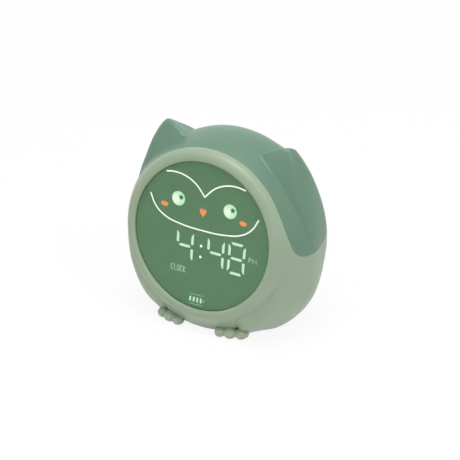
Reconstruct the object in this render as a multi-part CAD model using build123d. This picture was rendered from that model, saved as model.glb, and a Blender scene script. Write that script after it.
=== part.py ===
"""Owl-shaped bedside alarm clock with a night light, as an assembly of its separate pieces.

Pieces are drawn in the body frame: x sideways, y back from the screen's front face, z up, with the origin
at the screen's centre. place() leans the body back and stands it on the floor, Z = 0, in the part's frame.
Feet, pads and battery are drawn upright, with y measured back from below the screen's centre.
"""

import math
import os

from build123d import *

# ---------------------------------------------------------------- stance
LEAN = 8.5  # degrees that the screen leans back
FACE_SETBACK = 36.2  # screen centre ahead of the part's origin
BASE_GAP = 1.5  # floor to the flat underside
BASE_CUT = 7.27  # what the flat underside takes off the round body
FAR = 160.0  # beyond every side of the clock

# ---------------------------------------------------------------- outer skin
SCREEN_R = 50.0
WALL = 2.2
LIP_Y = -1.1  # the bezel's inner lip
RING_CREST = (52.6, -1.5)
RING_SHOULDER = (56.8, 0.7)
RING_BACK = (59.3, 4.5)
# (radius, depth) of the round body behind the bezel ring, about an axis BODY_DROP below the screen's
PROFILE = (
    (59.3, 4.5),
    (62.4, 8.5),
    (64.8, 13.0),
    (66.4, 20.0),
    (67.1, 30.0),
    (66.7, 38.0),
    (64.4, 46.0),
    (60.6, 54.0),
    (55.6, 62.0),
    (49.6, 69.0),
    (43.6, 74.0),
    (38.5, 77.0),
)
BODY_DROP = 1.5
lean_sin = math.sin(math.radians(LEAN))
lean_cos = math.cos(math.radians(LEAN))
BODY_REACH = max((radius + BODY_DROP) * lean_cos + depth * lean_sin for radius, depth in PROFILE)
FACE_HEIGHT = BODY_REACH + BASE_GAP - BASE_CUT  # screen centre above the floor
BACK_Y = PROFILE[-1][1]
BACK_INNER_Y = BACK_Y - WALL
SPLIT_Y = 62.0  # where the rear cover meets the front housing
SPLIT_GAP = 0.15

# ---------------------------------------------------------------- wings
WING_ANGLE = 136.0  # degrees round from the top
WING_OUT = 35.0  # its own turning axis, out from the screen's
WING_PROFILE = (
    (29.3, 1.5),
    (33.0, 8.0),
    (36.0, 13.0),
    (38.7, 20.0),
    (40.8, 28.0),
    (41.6, 36.0),
    (40.4, 45.0),
    (36.0, 52.5),
    (26.0, 59.5),
)
WING_FRONT = (2.6, 0.167)  # depth of its flat front at WING_FRONT_Z, and the slope
WING_FRONT_Z = -46.0

# ---------------------------------------------------------------- night-light shade
SHADE_TOP_Z = 95.0
# (depth, height) down the front edge, round the bottom and up the back edge, seen from the side
SHADE_EDGE = (
    (4.5, 26.0),
    (6.4, 12.5),
    (12.3, 0.3),
    (25.0, -3.5),
    (43.0, 0.6),
    (51.0, 9.0),
    (53.0, 20.0),
)
SHADE_WALL = 2.0
SHADE_GAP = 0.25
SHADE_SINK = 0.3  # the shade lies this far below the housing's skin
FLANGE_REACH = 3.0
FLANGE_WALL = 1.3
FLANGE_GAP = 0.3
FLANGE_FRONT_Y = 10.2
# sections of an ear, from its tip outwards and down: angle from the top, reach, depth, half depth
EAR_SECTIONS = (
    (29.0, 64.5, 20.0, 5.0),
    (31.5, 74.0, 21.0, 9.5),
    (36.0, 78.5, 22.5, 13.0),
    (45.0, 77.2, 28.0, 16.0),
    (56.0, 73.6, 33.0, 16.5),
    (68.0, 70.4, 36.5, 14.5),
    (80.0, 66.8, 39.0, 12.0),
)
EAR_CORE = 58.0

# ---------------------------------------------------------------- screen stack, front to back
LENS_LAP = 2.0  # the front sheet reaches this far behind the bezel's lip
LENS_R = SCREEN_R + LENS_LAP
LENS_T = 1.2
SEAT_PLAY = 0.3
FILM_T = 0.2
TAPE_T = 0.3
TAPE_W = 1.7
TAPE_IN_R = LENS_R - TAPE_W
SHIELD_SHY = 0.5  # the light shield stays this far inside the bezel's lip
SHIELD_R = SCREEN_R - SHIELD_SHY
SHIELD_T = 6.2
BOARD_T = 1.6
DISPLAY_BOARD_R = 55.8
DISPLAY_SCREW_R = 52.8
DISPLAY_SCREW_ANGLES = (60.0, 180.0, 300.0)
DISPLAY_BOSS_R = 2.6
BOSS_R = 3.0
RING_INNER_Y = 3.8
MASK_Y = LENS_T + FILM_T
SHIELD_Y = MASK_Y + FILM_T
DISPLAY_BOARD_Y = SHIELD_Y + SHIELD_T
DISPLAY_BACK_Y = DISPLAY_BOARD_Y + BOARD_T
LED_SIDE = 1.2
LED_T = 0.8

# ---------------------------------------------------------------- what the screen shows
STROKE = 1.1
BROW = ((0.0, 26.7), (2.5, 29.7), (7.3, 34.3), (14.8, 37.8), (22.8, 38.9), (29.5, 38.0))
CHIN = ((0.0, 3.9), (17.2, 4.7), (28.6, 7.3), (36.0, 12.6), (40.6, 20.6))
EYE = (19.25, 21.4)
EYE_R = 4.9
PUPIL = (1.9, 0.5)  # from the eye's centre
PUPIL_R = 1.9
STAR_WAIST = 0.45
CHEEK = (29.4, 15.8)
CHEEK_R = (3.2, 1.9)
BEAK = (0.0, 16.5)
BEAK_W = 5.6
BEAK_H = 6.2
DIGIT_X = (-26.4, -11.8, 11.3, 26.8)
DIGIT_Z = -9.0
DIGIT_W = 11.6  # between the centre lines of its upright bars
DIGIT_H = 20.6
BAR_T = 1.8
FLAT_BAR_L = 9.4
UPRIGHT_BAR_L = 7.6
COLON = ((0.0, -6.7), (0.0, -14.2))
COLON_R = 1.05
ICON = (-0.2, -44.1)
ICON_LINE = (10.0, 0.5)
ICON_LINE_RISE = 3.35
ICON_BAR = (1.2, 3.1)
ICON_BARS = 4
ICON_STEP = 2.7
WELL_GROW = 0.35  # light wells are this much larger all round than their windows

# ---------------------------------------------------------------- screws
SHANK_R = 1.3
PILOT_R = 1.35
SCREW_HOLE_R = 1.6
HEAD_R = 2.6
HEAD_T = 1.6
HEAD_PLAY = 0.4
SCREW_L = 8.0
SHORT_L = 4.0
RECESS_R = 1.2
RECESS_W = 0.6
RECESS_DEEP = 0.9

# ---------------------------------------------------------------- rear cover
COVER_SCREW_R = 48.0
COVER_SCREW_ANGLES = (60.0, 120.0, 240.0, 300.0)
COVER_BOSS_R = 4.4
COVER_SEAT_Y = 66.0
LOW_BOSS_Y = 50.0
COUNTERBORE_R = 3.1
WEB_T = 2.0
TONGUE_T = 1.2
TONGUE_L = 2.4
TONGUE_PLAY = 0.3

# ---------------------------------------------------------------- buttons and main board
BUTTON_X = (-18.0, 0.0, 18.0)
BUTTON_Z = (24.0, 9.5)
BUTTON_NAMES = (("alarm", "light", "sound"), ("down", "set", "up"))
BUTTON_R = 5.0
BUTTON_PLAY = 0.35
BUTTON_PROUD = 1.3
BUTTON_FLANGE_R = 6.2
BUTTON_FLANGE_T = 1.0
BUTTON_REST = 0.3
STEM_R = 2.2
PLUNGER_R = 1.7
PLUNGER_FIT = 0.06
PLUNGER_PROUD = 1.0
PLUNGER_L = 2.6
TACT_SIDE = 6.2
TACT_T = 3.5
TACT_BORE_FLOOR = 0.6
MAIN_BOARD_Y = 66.6
MAIN_BOARD_X = 32.0
MAIN_BOARD_Z = (-14.0, 32.0)
MAIN_SCREW_X = 28.0
MAIN_SCREW_Z = (-9.5, 16.8)
CHIP = (10.0, 10.0, 1.2)
CHIP_AT = (-6.0, 20.0)
PLUG = (6.0, 3.0, 4.0)
PLUG_AT = {"display": (10.0, 4.0), "lamp": (-22.0, 2.0), "speaker": (6.0, -11.0), "battery": (20.0, -8.0)}
DISPLAY_PLUG = (20.0, -8.0)
USB_AT = (-14.0, -9.0)
USB_W = 8.94
USB_H = 3.26
USB_WALL = 0.3
USB_TONGUE_T = 0.7
USB_SINK = 0.6
USB_PLAY = 0.5
SLIDE_AT = (14.0, -9.0)
SLIDE_TRAVEL = 3.0
SLIDE_KNOB = (3.0, 3.4)
SLIDE_PLAY = 0.35
SLIDE_PROUD = 1.0
SLIDE_STEM = 2.0
SLIDE_STEM_SINK = 2.0
SLIDE_CASE = (10.0, 4.4, 5.6)
SLIDE_SHOULDER = 1.0

# ---------------------------------------------------------------- speaker
SPEAKER_Z = -25.5
SPEAKER_R = 12.5
SPEAKER_BACK_R = 8.5
GASKET_T = 0.8
GASKET_W = 2.0
SPEAKER_RIM_T = 1.2
SPEAKER_CONE_T = 0.5
BASKET_L = 5.0
BASKET_WALL = 1.0
MAGNET_R = 7.5
MAGNET_T = 3.6
SPEAKER_WALL_PLAY = 0.25
SPEAKER_WALL_T = 1.2
HOOK_REACH = 1.0
HOOK_T = 1.0
HOOK_GAP = 0.2
GRILLE_RINGS = ((3.2, 6), (6.3, 12), (9.3, 18))
GRILLE_HOLE_R = 0.9

# ---------------------------------------------------------------- night light
ARCH_R = 50.0
ARCH_T = 1.6
ARCH_Y = (14.0, 49.0)
ARCH_LEG = 18.0
ARCH_SCREW = (31.0, -13.0)
ARCH_BOSS_R = 3.4
ARCH_BOSS_GAP = 0.1
STRIP_T = 0.3
STRIP_W = 10.0
STRIP_HALF_ANGLE = 86.0
LAMP_LED = (5.0, 5.0, 1.6)
LAMP_LED_ANGLES = (-66.0, -44.0, -22.0, 0.0, 22.0, 44.0, 66.0)

# ---------------------------------------------------------------- feet, pads and battery
FOOT_AT = (23.0, -2.6)  # the middle toe
FOOT_TURN = 19.0
TOE_R = 3.7
TOE_LONG = 4.4
TOE_SPREAD = 7.0
TOE_SHY = 0.2  # the outer toes lie this far back of the middle one's line
SOLE_HALF = 7.5
SOLE_LONG = 20.0
SOLE_CORNER = 5.0
SOLE_LIFT = 0.8
FOOT_PLAY = 0.2
SEAT_GAP = 0.1
PEG_BACK = 13.0
PEG_R = 3.4
PEG_PLAY = 0.1
FOOT_BOSS_R = 4.4
FOOT_SEAT_Z = 5.0
PAD_AT = (18.0, 45.5)
PAD_R = 5.5
PAD_BOSS_R = 6.8
PAD_PEG_R = 1.95
PAD_PEG_PLAY = 0.05
CELL_R = 9.1
CELL_L = 50.0
CELL_Y = 26.0
CELL_PLAY = 0.15
CRADLE_FLOOR = 1.4
CRADLE_WALL = 1.6
CRADLE_END = 2.0
CRADLE_END_PLAY = 0.6
CRADLE_GRIP = 3.0
CRADLE_LUG = (16.0, 41.0)
LUG_Z = 9.0
LUG_T = 1.6
LUG_HALF = 4.0
TAB_T = 0.3
TAB_W = 4.0
WIRE_R = 0.65

BODY_EDGE_Y = SPLIT_Y - SPLIT_GAP / 2
COVER_EDGE_Y = SPLIT_Y + SPLIT_GAP / 2
MAIN_BACK_Y = MAIN_BOARD_Y + BOARD_T
FLOOR_Z = BASE_GAP + WALL
CELL_Z = FLOOR_Z + CRADLE_FLOOR + CELL_PLAY + CELL_R


# ---------------------------------------------------------------- helpers
def place(shape):
    """From the leaning body frame to the part's frame."""
    return Pos(0, -FACE_SETBACK, FACE_HEIGHT) * Rot(X=-LEAN) * shape


def stand(shape):
    """From upright, measured from below the screen's centre, to the part's frame."""
    return Pos(0, -FACE_SETBACK, 0) * shape


def lean(shape):
    """From upright, measured from below the screen's centre, to the body frame."""
    return Rot(X=LEAN) * Pos(0, 0, -FACE_HEIGHT) * shape


def slab(sketch, front, back):
    """A sketch in (x, z), extruded from depth front to depth back."""
    plane = Plane(origin=(0, back, 0), x_dir=(1, 0, 0), z_dir=(0, -1, 0))
    return extrude(plane * sketch, amount=back - front)


def rod(x, z, radius, front, back):
    return slab(Pos(x, z) * Circle(radius), front, back)


def block(x, y, z):
    """A box between two limits on each axis."""
    box = Box(x[1] - x[0], y[1] - y[0], z[1] - z[0], align=(Align.MIN,) * 3)
    return Pos(x[0], y[0], z[0]) * box


def pillar(x, y, radius, low, high):
    """An upright cylinder between two heights."""
    return Pos(x, y, low) * Cylinder(radius, high - low, align=(Align.CENTER, Align.CENTER, Align.MIN))


def polar(angle, reach, drop=0.0):
    """(x, z) at an angle in degrees round from the top."""
    return reach * math.sin(math.radians(angle)), reach * math.cos(math.radians(angle)) - drop


def group(shapes):
    return Compound(children=[solid for shape in shapes for solid in shape.solids()])


def shifted(points, amount):
    """A row of points, each moved to its left by amount, square to the row."""
    moved = []
    last = len(points) - 1
    for i, (a, b) in enumerate(points):
        a0, b0 = points[max(i - 1, 0)]
        a1, b1 = points[min(i + 1, last)]
        span = math.hypot(a1 - a0, b1 - b0)
        moved.append((a - amount * (b1 - b0) / span, b + amount * (a1 - a0) / span))
    return moved


def radius_at(depth, inset=0.0):
    """The round body's radius at a depth, about its own axis."""
    row = shifted(PROFILE, inset)
    for (r0, y0), (r1, y1) in zip(row, row[1:]):
        if y0 <= depth <= y1:
            return r0 + (r1 - r0) * (depth - y0) / (y1 - y0)
    return row[-1][0]


def turned(line_points, front, back, straight=False):
    """A solid turned about the y axis, with flat ends at two depths."""
    with BuildPart() as made:
        with BuildSketch(Plane.XY):
            with BuildLine():
                first = line_points[0]
                last = line_points[-1]
                if straight:
                    Polyline(*line_points)
                else:
                    Spline(*line_points)
                if first[1] > front:
                    Line(first, (first[0], front))
                Line((first[0], min(front, first[1])), (0, min(front, first[1])))
                Line((0, min(front, first[1])), (0, max(back, last[1])))
                Line((0, max(back, last[1])), (last[0], max(back, last[1])))
                if last[1] < back:
                    Line((last[0], back), last)
            make_face()
        revolve(axis=Axis.Y)
    return made.part


def body(inset=0.0, front=RING_BACK[1], straight=False):
    """The round body behind the bezel ring, inset square to its skin, flat at the back."""
    row = shifted(PROFILE, inset)
    back = BACK_Y - inset
    row = [point for point in row if point[1] < back - 0.6]
    return Pos(0, 0, -BODY_DROP) * turned(row + [(radius_at(back, inset), back)], front, back, straight)


def above(height):
    """Everything above a height over the floor, in the body frame."""
    return lean(block((-FAR, FAR), (-FAR, FAR), (height, 2 * FAR)))


def screw(length):
    """A cross-recess screw with its head's underside at z = 0 and its tip at -length."""
    made = pillar(0, 0, HEAD_R, 0, HEAD_T) + pillar(0, 0, SHANK_R, -length, 0)
    slots = Rectangle(2 * RECESS_R, RECESS_W) + Rectangle(RECESS_W, 2 * RECESS_R)
    return made - Pos(0, 0, HEAD_T - RECESS_DEEP) * extrude(slots, amount=RECESS_DEEP)


# ---------------------------------------------------------------- skins of the casing
def ring_disc():
    """The bezel ring as a solid disc with a rounded front."""
    with BuildPart() as made:
        with BuildSketch(Plane.XY):
            with BuildLine():
                lip = (SCREEN_R, LIP_Y)
                Line((0, RING_BACK[1]), (0, LIP_Y))
                Line((0, LIP_Y), lip)
                Spline(lip, RING_CREST, RING_SHOULDER, RING_BACK, tangents=[(0.6, -0.8), (0.35, 0.94)])
                Line(RING_BACK, (0, RING_BACK[1]))
            make_face()
        revolve(axis=Axis.Y)
    return made.part


def wing(side, inset=0.0, straight=False):
    """One folded wing: a wide turned form low on the flank, with a flat sloping front."""
    x, z = polar(WING_ANGLE, WING_OUT)
    row = shifted(WING_PROFILE, inset)
    made = Pos(side * x, 0, z) * turned(row, row[0][1], row[-1][1], straight)
    front, slope = WING_FRONT
    tilt = math.degrees(math.atan(slope))
    ahead = Pos(0, front + inset, WING_FRONT_Z) * Rot(X=-tilt) * block((-FAR, FAR), (-FAR, 0), (-FAR, FAR))
    return made - ahead


def ear(side, inset=0.0):
    """One ear tuft: a ridge that is highest at its inner end and dies away down the side."""
    rings = []
    for angle, reach, depth, deep in EAR_SECTIONS:
        if not rings:
            angle += math.degrees(inset / reach)
        x, z = polar(angle, EAR_CORE)
        rx, rz = polar(angle, 1)
        plane = Plane(origin=(side * x, depth, z), x_dir=(side * rx, 0, rz), z_dir=(side * rz, 0, -rx))
        rings.append(plane * Ellipse(reach - inset - EAR_CORE, deep - inset))
    return loft(rings)


def shade_region(grow):
    """Where the shade is, seen from the side, grown by an amount and run right across the body."""
    row = shifted(SHADE_EDGE, -grow)
    top_front = (row[0][0], SHADE_TOP_Z)
    top_back = (row[-1][0], SHADE_TOP_Z)
    plane = Plane(origin=(-100, 0, 0), x_dir=(0, 1, 0), z_dir=(1, 0, 0))
    with BuildSketch() as made:
        with BuildLine():
            Line(top_front, row[0])
            Spline(*row, tangents=[(0, -1), (0, 1)])
            Line(row[-1], top_back)
            Line(top_back, top_front)
        make_face()
    return extrude(plane * made.sketch, amount=200)


def outer_solid():
    full = ring_disc() + body() + wing(1) + wing(-1)
    for side in (1, -1):
        full += lean(pillar(side * PAD_AT[0], PAD_AT[1], PAD_BOSS_R, BASE_GAP, BASE_GAP + 6)) & body(1.0)
    return full & above(BASE_GAP)


def cavity_solid():
    span = block((-FAR, FAR), (RING_INNER_Y, FAR), (-FAR, FAR))
    hollow = body(WALL, front=RING_INNER_Y) + (wing(1, WALL) & span) + (wing(-1, WALL) & span)
    return hollow & above(FLOOR_Z)


OUTER = outer_solid()
CAVITY = cavity_solid()
FRONT_HALF = block((-FAR, FAR), (-FAR, BODY_EDGE_Y), (-FAR, FAR))
BACK_HALF = block((-FAR, FAR), (COVER_EDGE_Y, FAR), (-FAR, FAR))
COVER_POINTS = [polar(angle, COVER_SCREW_R, BODY_DROP) for angle in COVER_SCREW_ANGLES]
DISPLAY_POINTS = [polar(angle, DISPLAY_SCREW_R) for angle in DISPLAY_SCREW_ANGLES]
MAIN_POINTS = [(x, z) for x in (-MAIN_SCREW_X, MAIN_SCREW_X) for z in MAIN_SCREW_Z]


def foot_spot(side, back):
    """A point on a foot's centre line, behind its middle toe, upright frame."""
    turn = math.radians(FOOT_TURN)
    return side * (FOOT_AT[0] - back * math.sin(turn)), FOOT_AT[1] + back * math.cos(turn)


def across_rod(side, start, length, y, z, radius):
    """A cylinder along x, outwards from a distance start."""
    made = Cylinder(radius, length, align=(Align.CENTER, Align.CENTER, Align.MIN))
    return Pos(side * start, y, z) * Rot(Y=side * 90) * made


# ---------------------------------------------------------------- front housing
def front_housing():
    full = OUTER & FRONT_HALF
    shell = full - CAVITY
    shell -= rod(0, 0, SCREEN_R, -10, 0)
    shell -= rod(0, 0, LENS_R + SEAT_PLAY, -TAPE_T, RING_INNER_Y + 1)
    shell -= shade_region(0)
    added = []
    drilled = []
    for x, z in DISPLAY_POINTS:
        boss = rod(x, z, DISPLAY_BOSS_R, MASK_Y, DISPLAY_BOARD_Y)
        added.append(boss - rod(0, 0, SHIELD_R + SEAT_PLAY, 0, DISPLAY_BACK_Y))
        drilled.append(rod(x, z, PILOT_R, MASK_Y + 0.6, DISPLAY_BOARD_Y))
    for angle, (x, z) in zip(COVER_SCREW_ANGLES, COVER_POINTS):
        low = LOW_BOSS_Y if z < 0 else SHADE_EDGE[-1][0] + FLANGE_REACH + 0.7
        web = Rot(Y=angle) * block((-WEB_T / 2, WEB_T / 2), (low, BODY_EDGE_Y), (0, 20))
        boss = rod(x, z, COVER_BOSS_R, low, BODY_EDGE_Y) + Pos(x, 0, z) * web
        added.append(boss & body(WALL / 2) & FRONT_HALF)
        drilled.append(rod(x, z, PILOT_R, low - 1, BODY_EDGE_Y + 1))
    for side in (1, -1):
        start = ARCH_R + ARCH_BOSS_GAP
        added.append(across_rod(side, start, 30, *ARCH_SCREW, ARCH_BOSS_R) & body(WALL / 2))
        drilled.append(across_rod(side, start, SCREW_L, *ARCH_SCREW, PILOT_R))
        x, y = foot_spot(side, PEG_BACK)
        added.append(lean(pillar(x, y, FOOT_BOSS_R, BASE_GAP + 1, FOOT_SEAT_Z)) & body(WALL / 2))
        drilled.append(lean(pillar(x, y, PEG_R + PEG_PLAY, 0, FLOOR_Z)))
        drilled.append(lean(pillar(x, y, SCREW_HOLE_R, 0, FOOT_SEAT_Z + 1)))
        drilled.append(lean(pillar(x, y, HEAD_R + HEAD_PLAY, FOOT_SEAT_Z, FOOT_SEAT_Z + 8)))
        x, y = side * PAD_AT[0], PAD_AT[1]
        drilled.append(lean(pillar(x, y, PAD_PEG_R + PAD_PEG_PLAY, 0, FLOOR_Z + 4)))
        x, y = side * CRADLE_LUG[0], CRADLE_LUG[1]
        added.append(lean(pillar(x, y, BOSS_R, FLOOR_Z - 1, LUG_Z)) & body(WALL / 2))
        drilled.append(lean(pillar(x, y, PILOT_R, FLOOR_Z, LUG_Z + 1)))
    for extra in added:
        shell += extra
    for hole in drilled:
        shell -= hole
    return shell


# ---------------------------------------------------------------- rear cover
def rear_cover():
    full = OUTER & BACK_HALF
    cover = full - CAVITY
    inside = CAVITY & BACK_HALF
    edge_r = radius_at(BODY_EDGE_Y, WALL) - TONGUE_PLAY
    front = BODY_EDGE_Y - TONGUE_L
    back = COVER_EDGE_Y + 2.5
    tongue = rod(0, -BODY_DROP, edge_r, front, back) - rod(0, -BODY_DROP, edge_r - TONGUE_T, front, back)
    for x, z in COVER_POINTS:
        tongue -= rod(x, z, COVER_BOSS_R + TONGUE_PLAY, front, COVER_EDGE_Y)
    cover += tongue
    for x, z in COVER_POINTS:
        cover += rod(x, z, COVER_BOSS_R, COVER_EDGE_Y, BACK_Y) & full
        cover -= rod(x, z, COUNTERBORE_R, COVER_SEAT_Y, BACK_Y + 1)
        cover -= rod(x, z, SCREW_HOLE_R, COVER_EDGE_Y - 1, COVER_SEAT_Y)
    for x, z in MAIN_POINTS:
        cover += rod(x, z, BOSS_R, MAIN_BACK_Y, BACK_INNER_Y + 0.5) & full
        cover -= rod(x, z, PILOT_R, MAIN_BACK_Y, MAIN_BACK_Y + SCREW_L - BOARD_T)
    wall_r = SPEAKER_R + SPEAKER_WALL_PLAY
    rim_front = BACK_INNER_Y - GASKET_T - SPEAKER_RIM_T
    hook_back = rim_front - HOOK_GAP
    wall_front = hook_back - HOOK_T
    ring = rod(0, SPEAKER_Z, wall_r + SPEAKER_WALL_T, wall_front, BACK_INNER_Y + 0.5)
    ring -= rod(0, SPEAKER_Z, wall_r, wall_front, BACK_INNER_Y + 0.5)
    cover += ring & full
    for angle in (30.0, 150.0, 270.0):
        hook = block((-1.5, 1.5), (wall_front, hook_back), (wall_r - HOOK_REACH, wall_r + 0.5))
        cover += Pos(0, 0, SPEAKER_Z) * Rot(Y=angle) * hook
    for reach, count in GRILLE_RINGS:
        for i in range(count):
            x, z = polar(360 * i / count, reach)
            cover -= rod(x, SPEAKER_Z + z, GRILLE_HOLE_R, BACK_INNER_Y - 0.1, BACK_Y + 1)
    cover -= rod(0, SPEAKER_Z, GRILLE_HOLE_R, BACK_INNER_Y - 0.1, BACK_Y + 1)
    for x in BUTTON_X:
        for z in BUTTON_Z:
            cover -= rod(x, z, BUTTON_R + BUTTON_PLAY, BACK_INNER_Y - 0.1, BACK_Y + 1)
    port = SlotOverall(USB_W + 2 * USB_PLAY, USB_H + 2 * USB_PLAY)
    cover -= slab(Pos(*USB_AT) * port, BACK_INNER_Y - 0.1, BACK_Y + 1)
    half = (SLIDE_TRAVEL + SLIDE_KNOB[0]) / 2 + SLIDE_PLAY
    rise = SLIDE_KNOB[1] / 2 + SLIDE_PLAY
    slot = block((-half, half), (BACK_INNER_Y - 0.1, BACK_Y + 1), (-rise, rise))
    cover -= Pos(SLIDE_AT[0], 0, SLIDE_AT[1]) * slot
    return cover - (rod(0, 0, FAR, 0, COVER_EDGE_Y) & inside)


# ---------------------------------------------------------------- night-light shade
def night_light_shade():
    dome = body(SHADE_SINK, front=0) + ear(1, SHADE_SINK) + ear(-1, SHADE_SINK)
    inset = SHADE_SINK + SHADE_WALL
    hollow = body(inset, front=0) + ear(1, inset) + ear(-1, inset)
    shade = (dome & shade_region(-SHADE_GAP)) - hollow
    outside = body(WALL + FLANGE_GAP, front=0)
    inside = body(WALL + FLANGE_GAP + FLANGE_WALL, front=0)
    region = shade_region(FLANGE_REACH) & block((-FAR, FAR), (FLANGE_FRONT_Y, FAR), (-FAR, FAR))
    flange = (outside & region) - inside
    flange -= shade_region(-SHADE_GAP - 2.0)
    strip = shade_region(-SHADE_GAP) - shade_region(-SHADE_GAP - 2.0)
    bridge = ((body(inset - 0.4, front=0) - inside) & strip) & region
    return shade + flange + bridge


# ---------------------------------------------------------------- screen figures, as sketches in (x, z)
def both(points):
    """A row of points from the middle outwards, run right across."""
    return [(-x, z) for x, z in reversed(points[1:])] + list(points)


def brow(width):
    left = trace(Spline(*[(-x, z) for x, z in BROW]), width)
    return trace(Spline(*BROW), width) + left + Pos(*BROW[0]) * Circle(width / 2)


def chin(width):
    return trace(Spline(*both(CHIN)), width)


def star(radius):
    points = []
    for i in range(10):
        x, z = polar(-36 * i, radius if i % 2 == 0 else radius * STAR_WAIST)
        points.append((x, z))
    return Polygon(*points, align=None)


def heart(width, height):
    lobe = width * 0.29
    side = width / 2 - lobe
    top = height / 2 - lobe
    lobes = Pos(side, top) * Circle(lobe) + Pos(-side, top) * Circle(lobe)
    edge = width * 0.48
    point = Polygon((-edge, top - lobe * 0.4), (0, -height / 2), (edge, top - lobe * 0.4), align=None)
    return lobes + point + Pos(0, top - lobe * 0.2) * Rectangle(width * 0.5, lobe * 0.9)


def bar(length, thick):
    half = length / 2
    nib = thick / 2
    lower = ((-half, 0), (nib - half, -nib), (half - nib, -nib))
    upper = ((half, 0), (half - nib, nib), (nib - half, nib))
    return Polygon(*lower, *upper, align=None)


def digit_bars(x, grow=0.0):
    """All seven bars of one digit, or the straight-sided wells behind them."""
    flat = bar(FLAT_BAR_L, BAR_T)
    upright = Rot(Z=90) * bar(UPRIGHT_BAR_L, BAR_T)
    if grow > 0:
        flat = Rectangle(FLAT_BAR_L, BAR_T)
        upright = Rectangle(BAR_T, UPRIGHT_BAR_L)
    bars = [Pos(x, DIGIT_Z + rise * DIGIT_H / 2) * flat for rise in (-1, 0, 1)]
    for across in (-1, 1):
        for rise in (-1, 1):
            bars.append(Pos(x + across * DIGIT_W / 2, DIGIT_Z + rise * DIGIT_H / 4) * upright)
    return bars


def figures(grow=0.0):
    """Every window of the screen, each grown by an amount all round."""
    made = [brow(STROKE + 2 * grow), chin(STROKE + 2 * grow)]
    for side in (1, -1):
        eye = Pos(side * EYE[0], EYE[1]) * Circle(EYE_R + grow)
        if grow == 0:
            eye -= Pos(side * EYE[0] + PUPIL[0], EYE[1] + PUPIL[1]) * star(PUPIL_R)
        made.append(eye)
        made.append(Pos(side * CHEEK[0], CHEEK[1]) * Ellipse(CHEEK_R[0] + grow, CHEEK_R[1] + grow))
    made.append(Pos(*BEAK) * heart(BEAK_W + 2 * grow, BEAK_H + 2 * grow))
    for x in DIGIT_X:
        made += digit_bars(x, grow)
    made += [Pos(x, z) * Circle(COLON_R + grow) for x, z in COLON]
    if grow > 0:
        made.append(Pos(*ICON) * Rectangle(ICON_LINE[0] + 1, 2 * ICON_LINE_RISE + 1))
        return made
    for i in range(ICON_BARS):
        step = (i - (ICON_BARS - 1) / 2) * ICON_STEP
        made.append(Pos(ICON[0] + step, ICON[1]) * Rectangle(*ICON_BAR))
    for rise in (-1, 1):
        made.append(Pos(ICON[0], ICON[1] + rise * ICON_LINE_RISE) * Rectangle(*ICON_LINE))
    return made


def cut_windows(disc, front, back, grow=0.0):
    for figure in figures(grow):
        disc -= slab(figure, front, back)
    return disc


def led_points():
    spots = [(0.0, 26.7), BEAK, COLON[0], COLON[1], ICON]
    for side in (1, -1):
        spots += [(side * EYE[0], EYE[1]), (side * CHEEK[0], CHEEK[1])]
        spots += [(side * x, z) for x, z in BROW[2:5]]
        spots += [(side * x, z) for x, z in CHIN[1:4]]
    for x in DIGIT_X:
        spots += [(x, DIGIT_Z + rise * DIGIT_H / 2) for rise in (-1, 0, 1)]
        for across in (-1, 1):
            spots += [(x + across * DIGIT_W / 2, DIGIT_Z + rise * DIGIT_H / 4) for rise in (-1, 1)]
    return spots


# ---------------------------------------------------------------- screen stack
def screen_pieces():
    lens = rod(0, 0, LENS_R, 0, LENS_T)
    film = rod(0, 0, LENS_R, LENS_T, MASK_Y)
    tape = rod(0, 0, LENS_R, -TAPE_T, 0) - rod(0, 0, TAPE_IN_R, -TAPE_T, 0)
    mask = cut_windows(rod(0, 0, SHIELD_R, MASK_Y, SHIELD_Y), MASK_Y, SHIELD_Y)
    shield = rod(0, 0, SHIELD_R, SHIELD_Y, DISPLAY_BOARD_Y)
    shield = cut_windows(shield, SHIELD_Y, DISPLAY_BOARD_Y, WELL_GROW)
    board = rod(0, 0, DISPLAY_BOARD_R, DISPLAY_BOARD_Y, DISPLAY_BACK_Y)
    for x, z in DISPLAY_POINTS:
        board -= rod(x, z, SCREW_HOLE_R, DISPLAY_BOARD_Y, DISPLAY_BACK_Y)
    half = LED_SIDE / 2
    led = block((-half, half), (DISPLAY_BOARD_Y - LED_T, DISPLAY_BOARD_Y), (-half, half))
    leds = group([Pos(x, 0, z) * led for x, z in led_points()])
    plug = plug_block(DISPLAY_PLUG, DISPLAY_BACK_Y, DISPLAY_BACK_Y + PLUG[1])
    return {
        "screen_lens": lens,
        "diffuser_film": film,
        "lens_tape": tape,
        "mask_film": mask,
        "light_shield": shield,
        "display_board": board,
        "display_leds": leds,
        "display_plug": plug,
    }


def plug_block(at, front, back):
    x, z = at
    return block((x - PLUG[0] / 2, x + PLUG[0] / 2), (front, back), (z - PLUG[2] / 2, z + PLUG[2] / 2))


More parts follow.
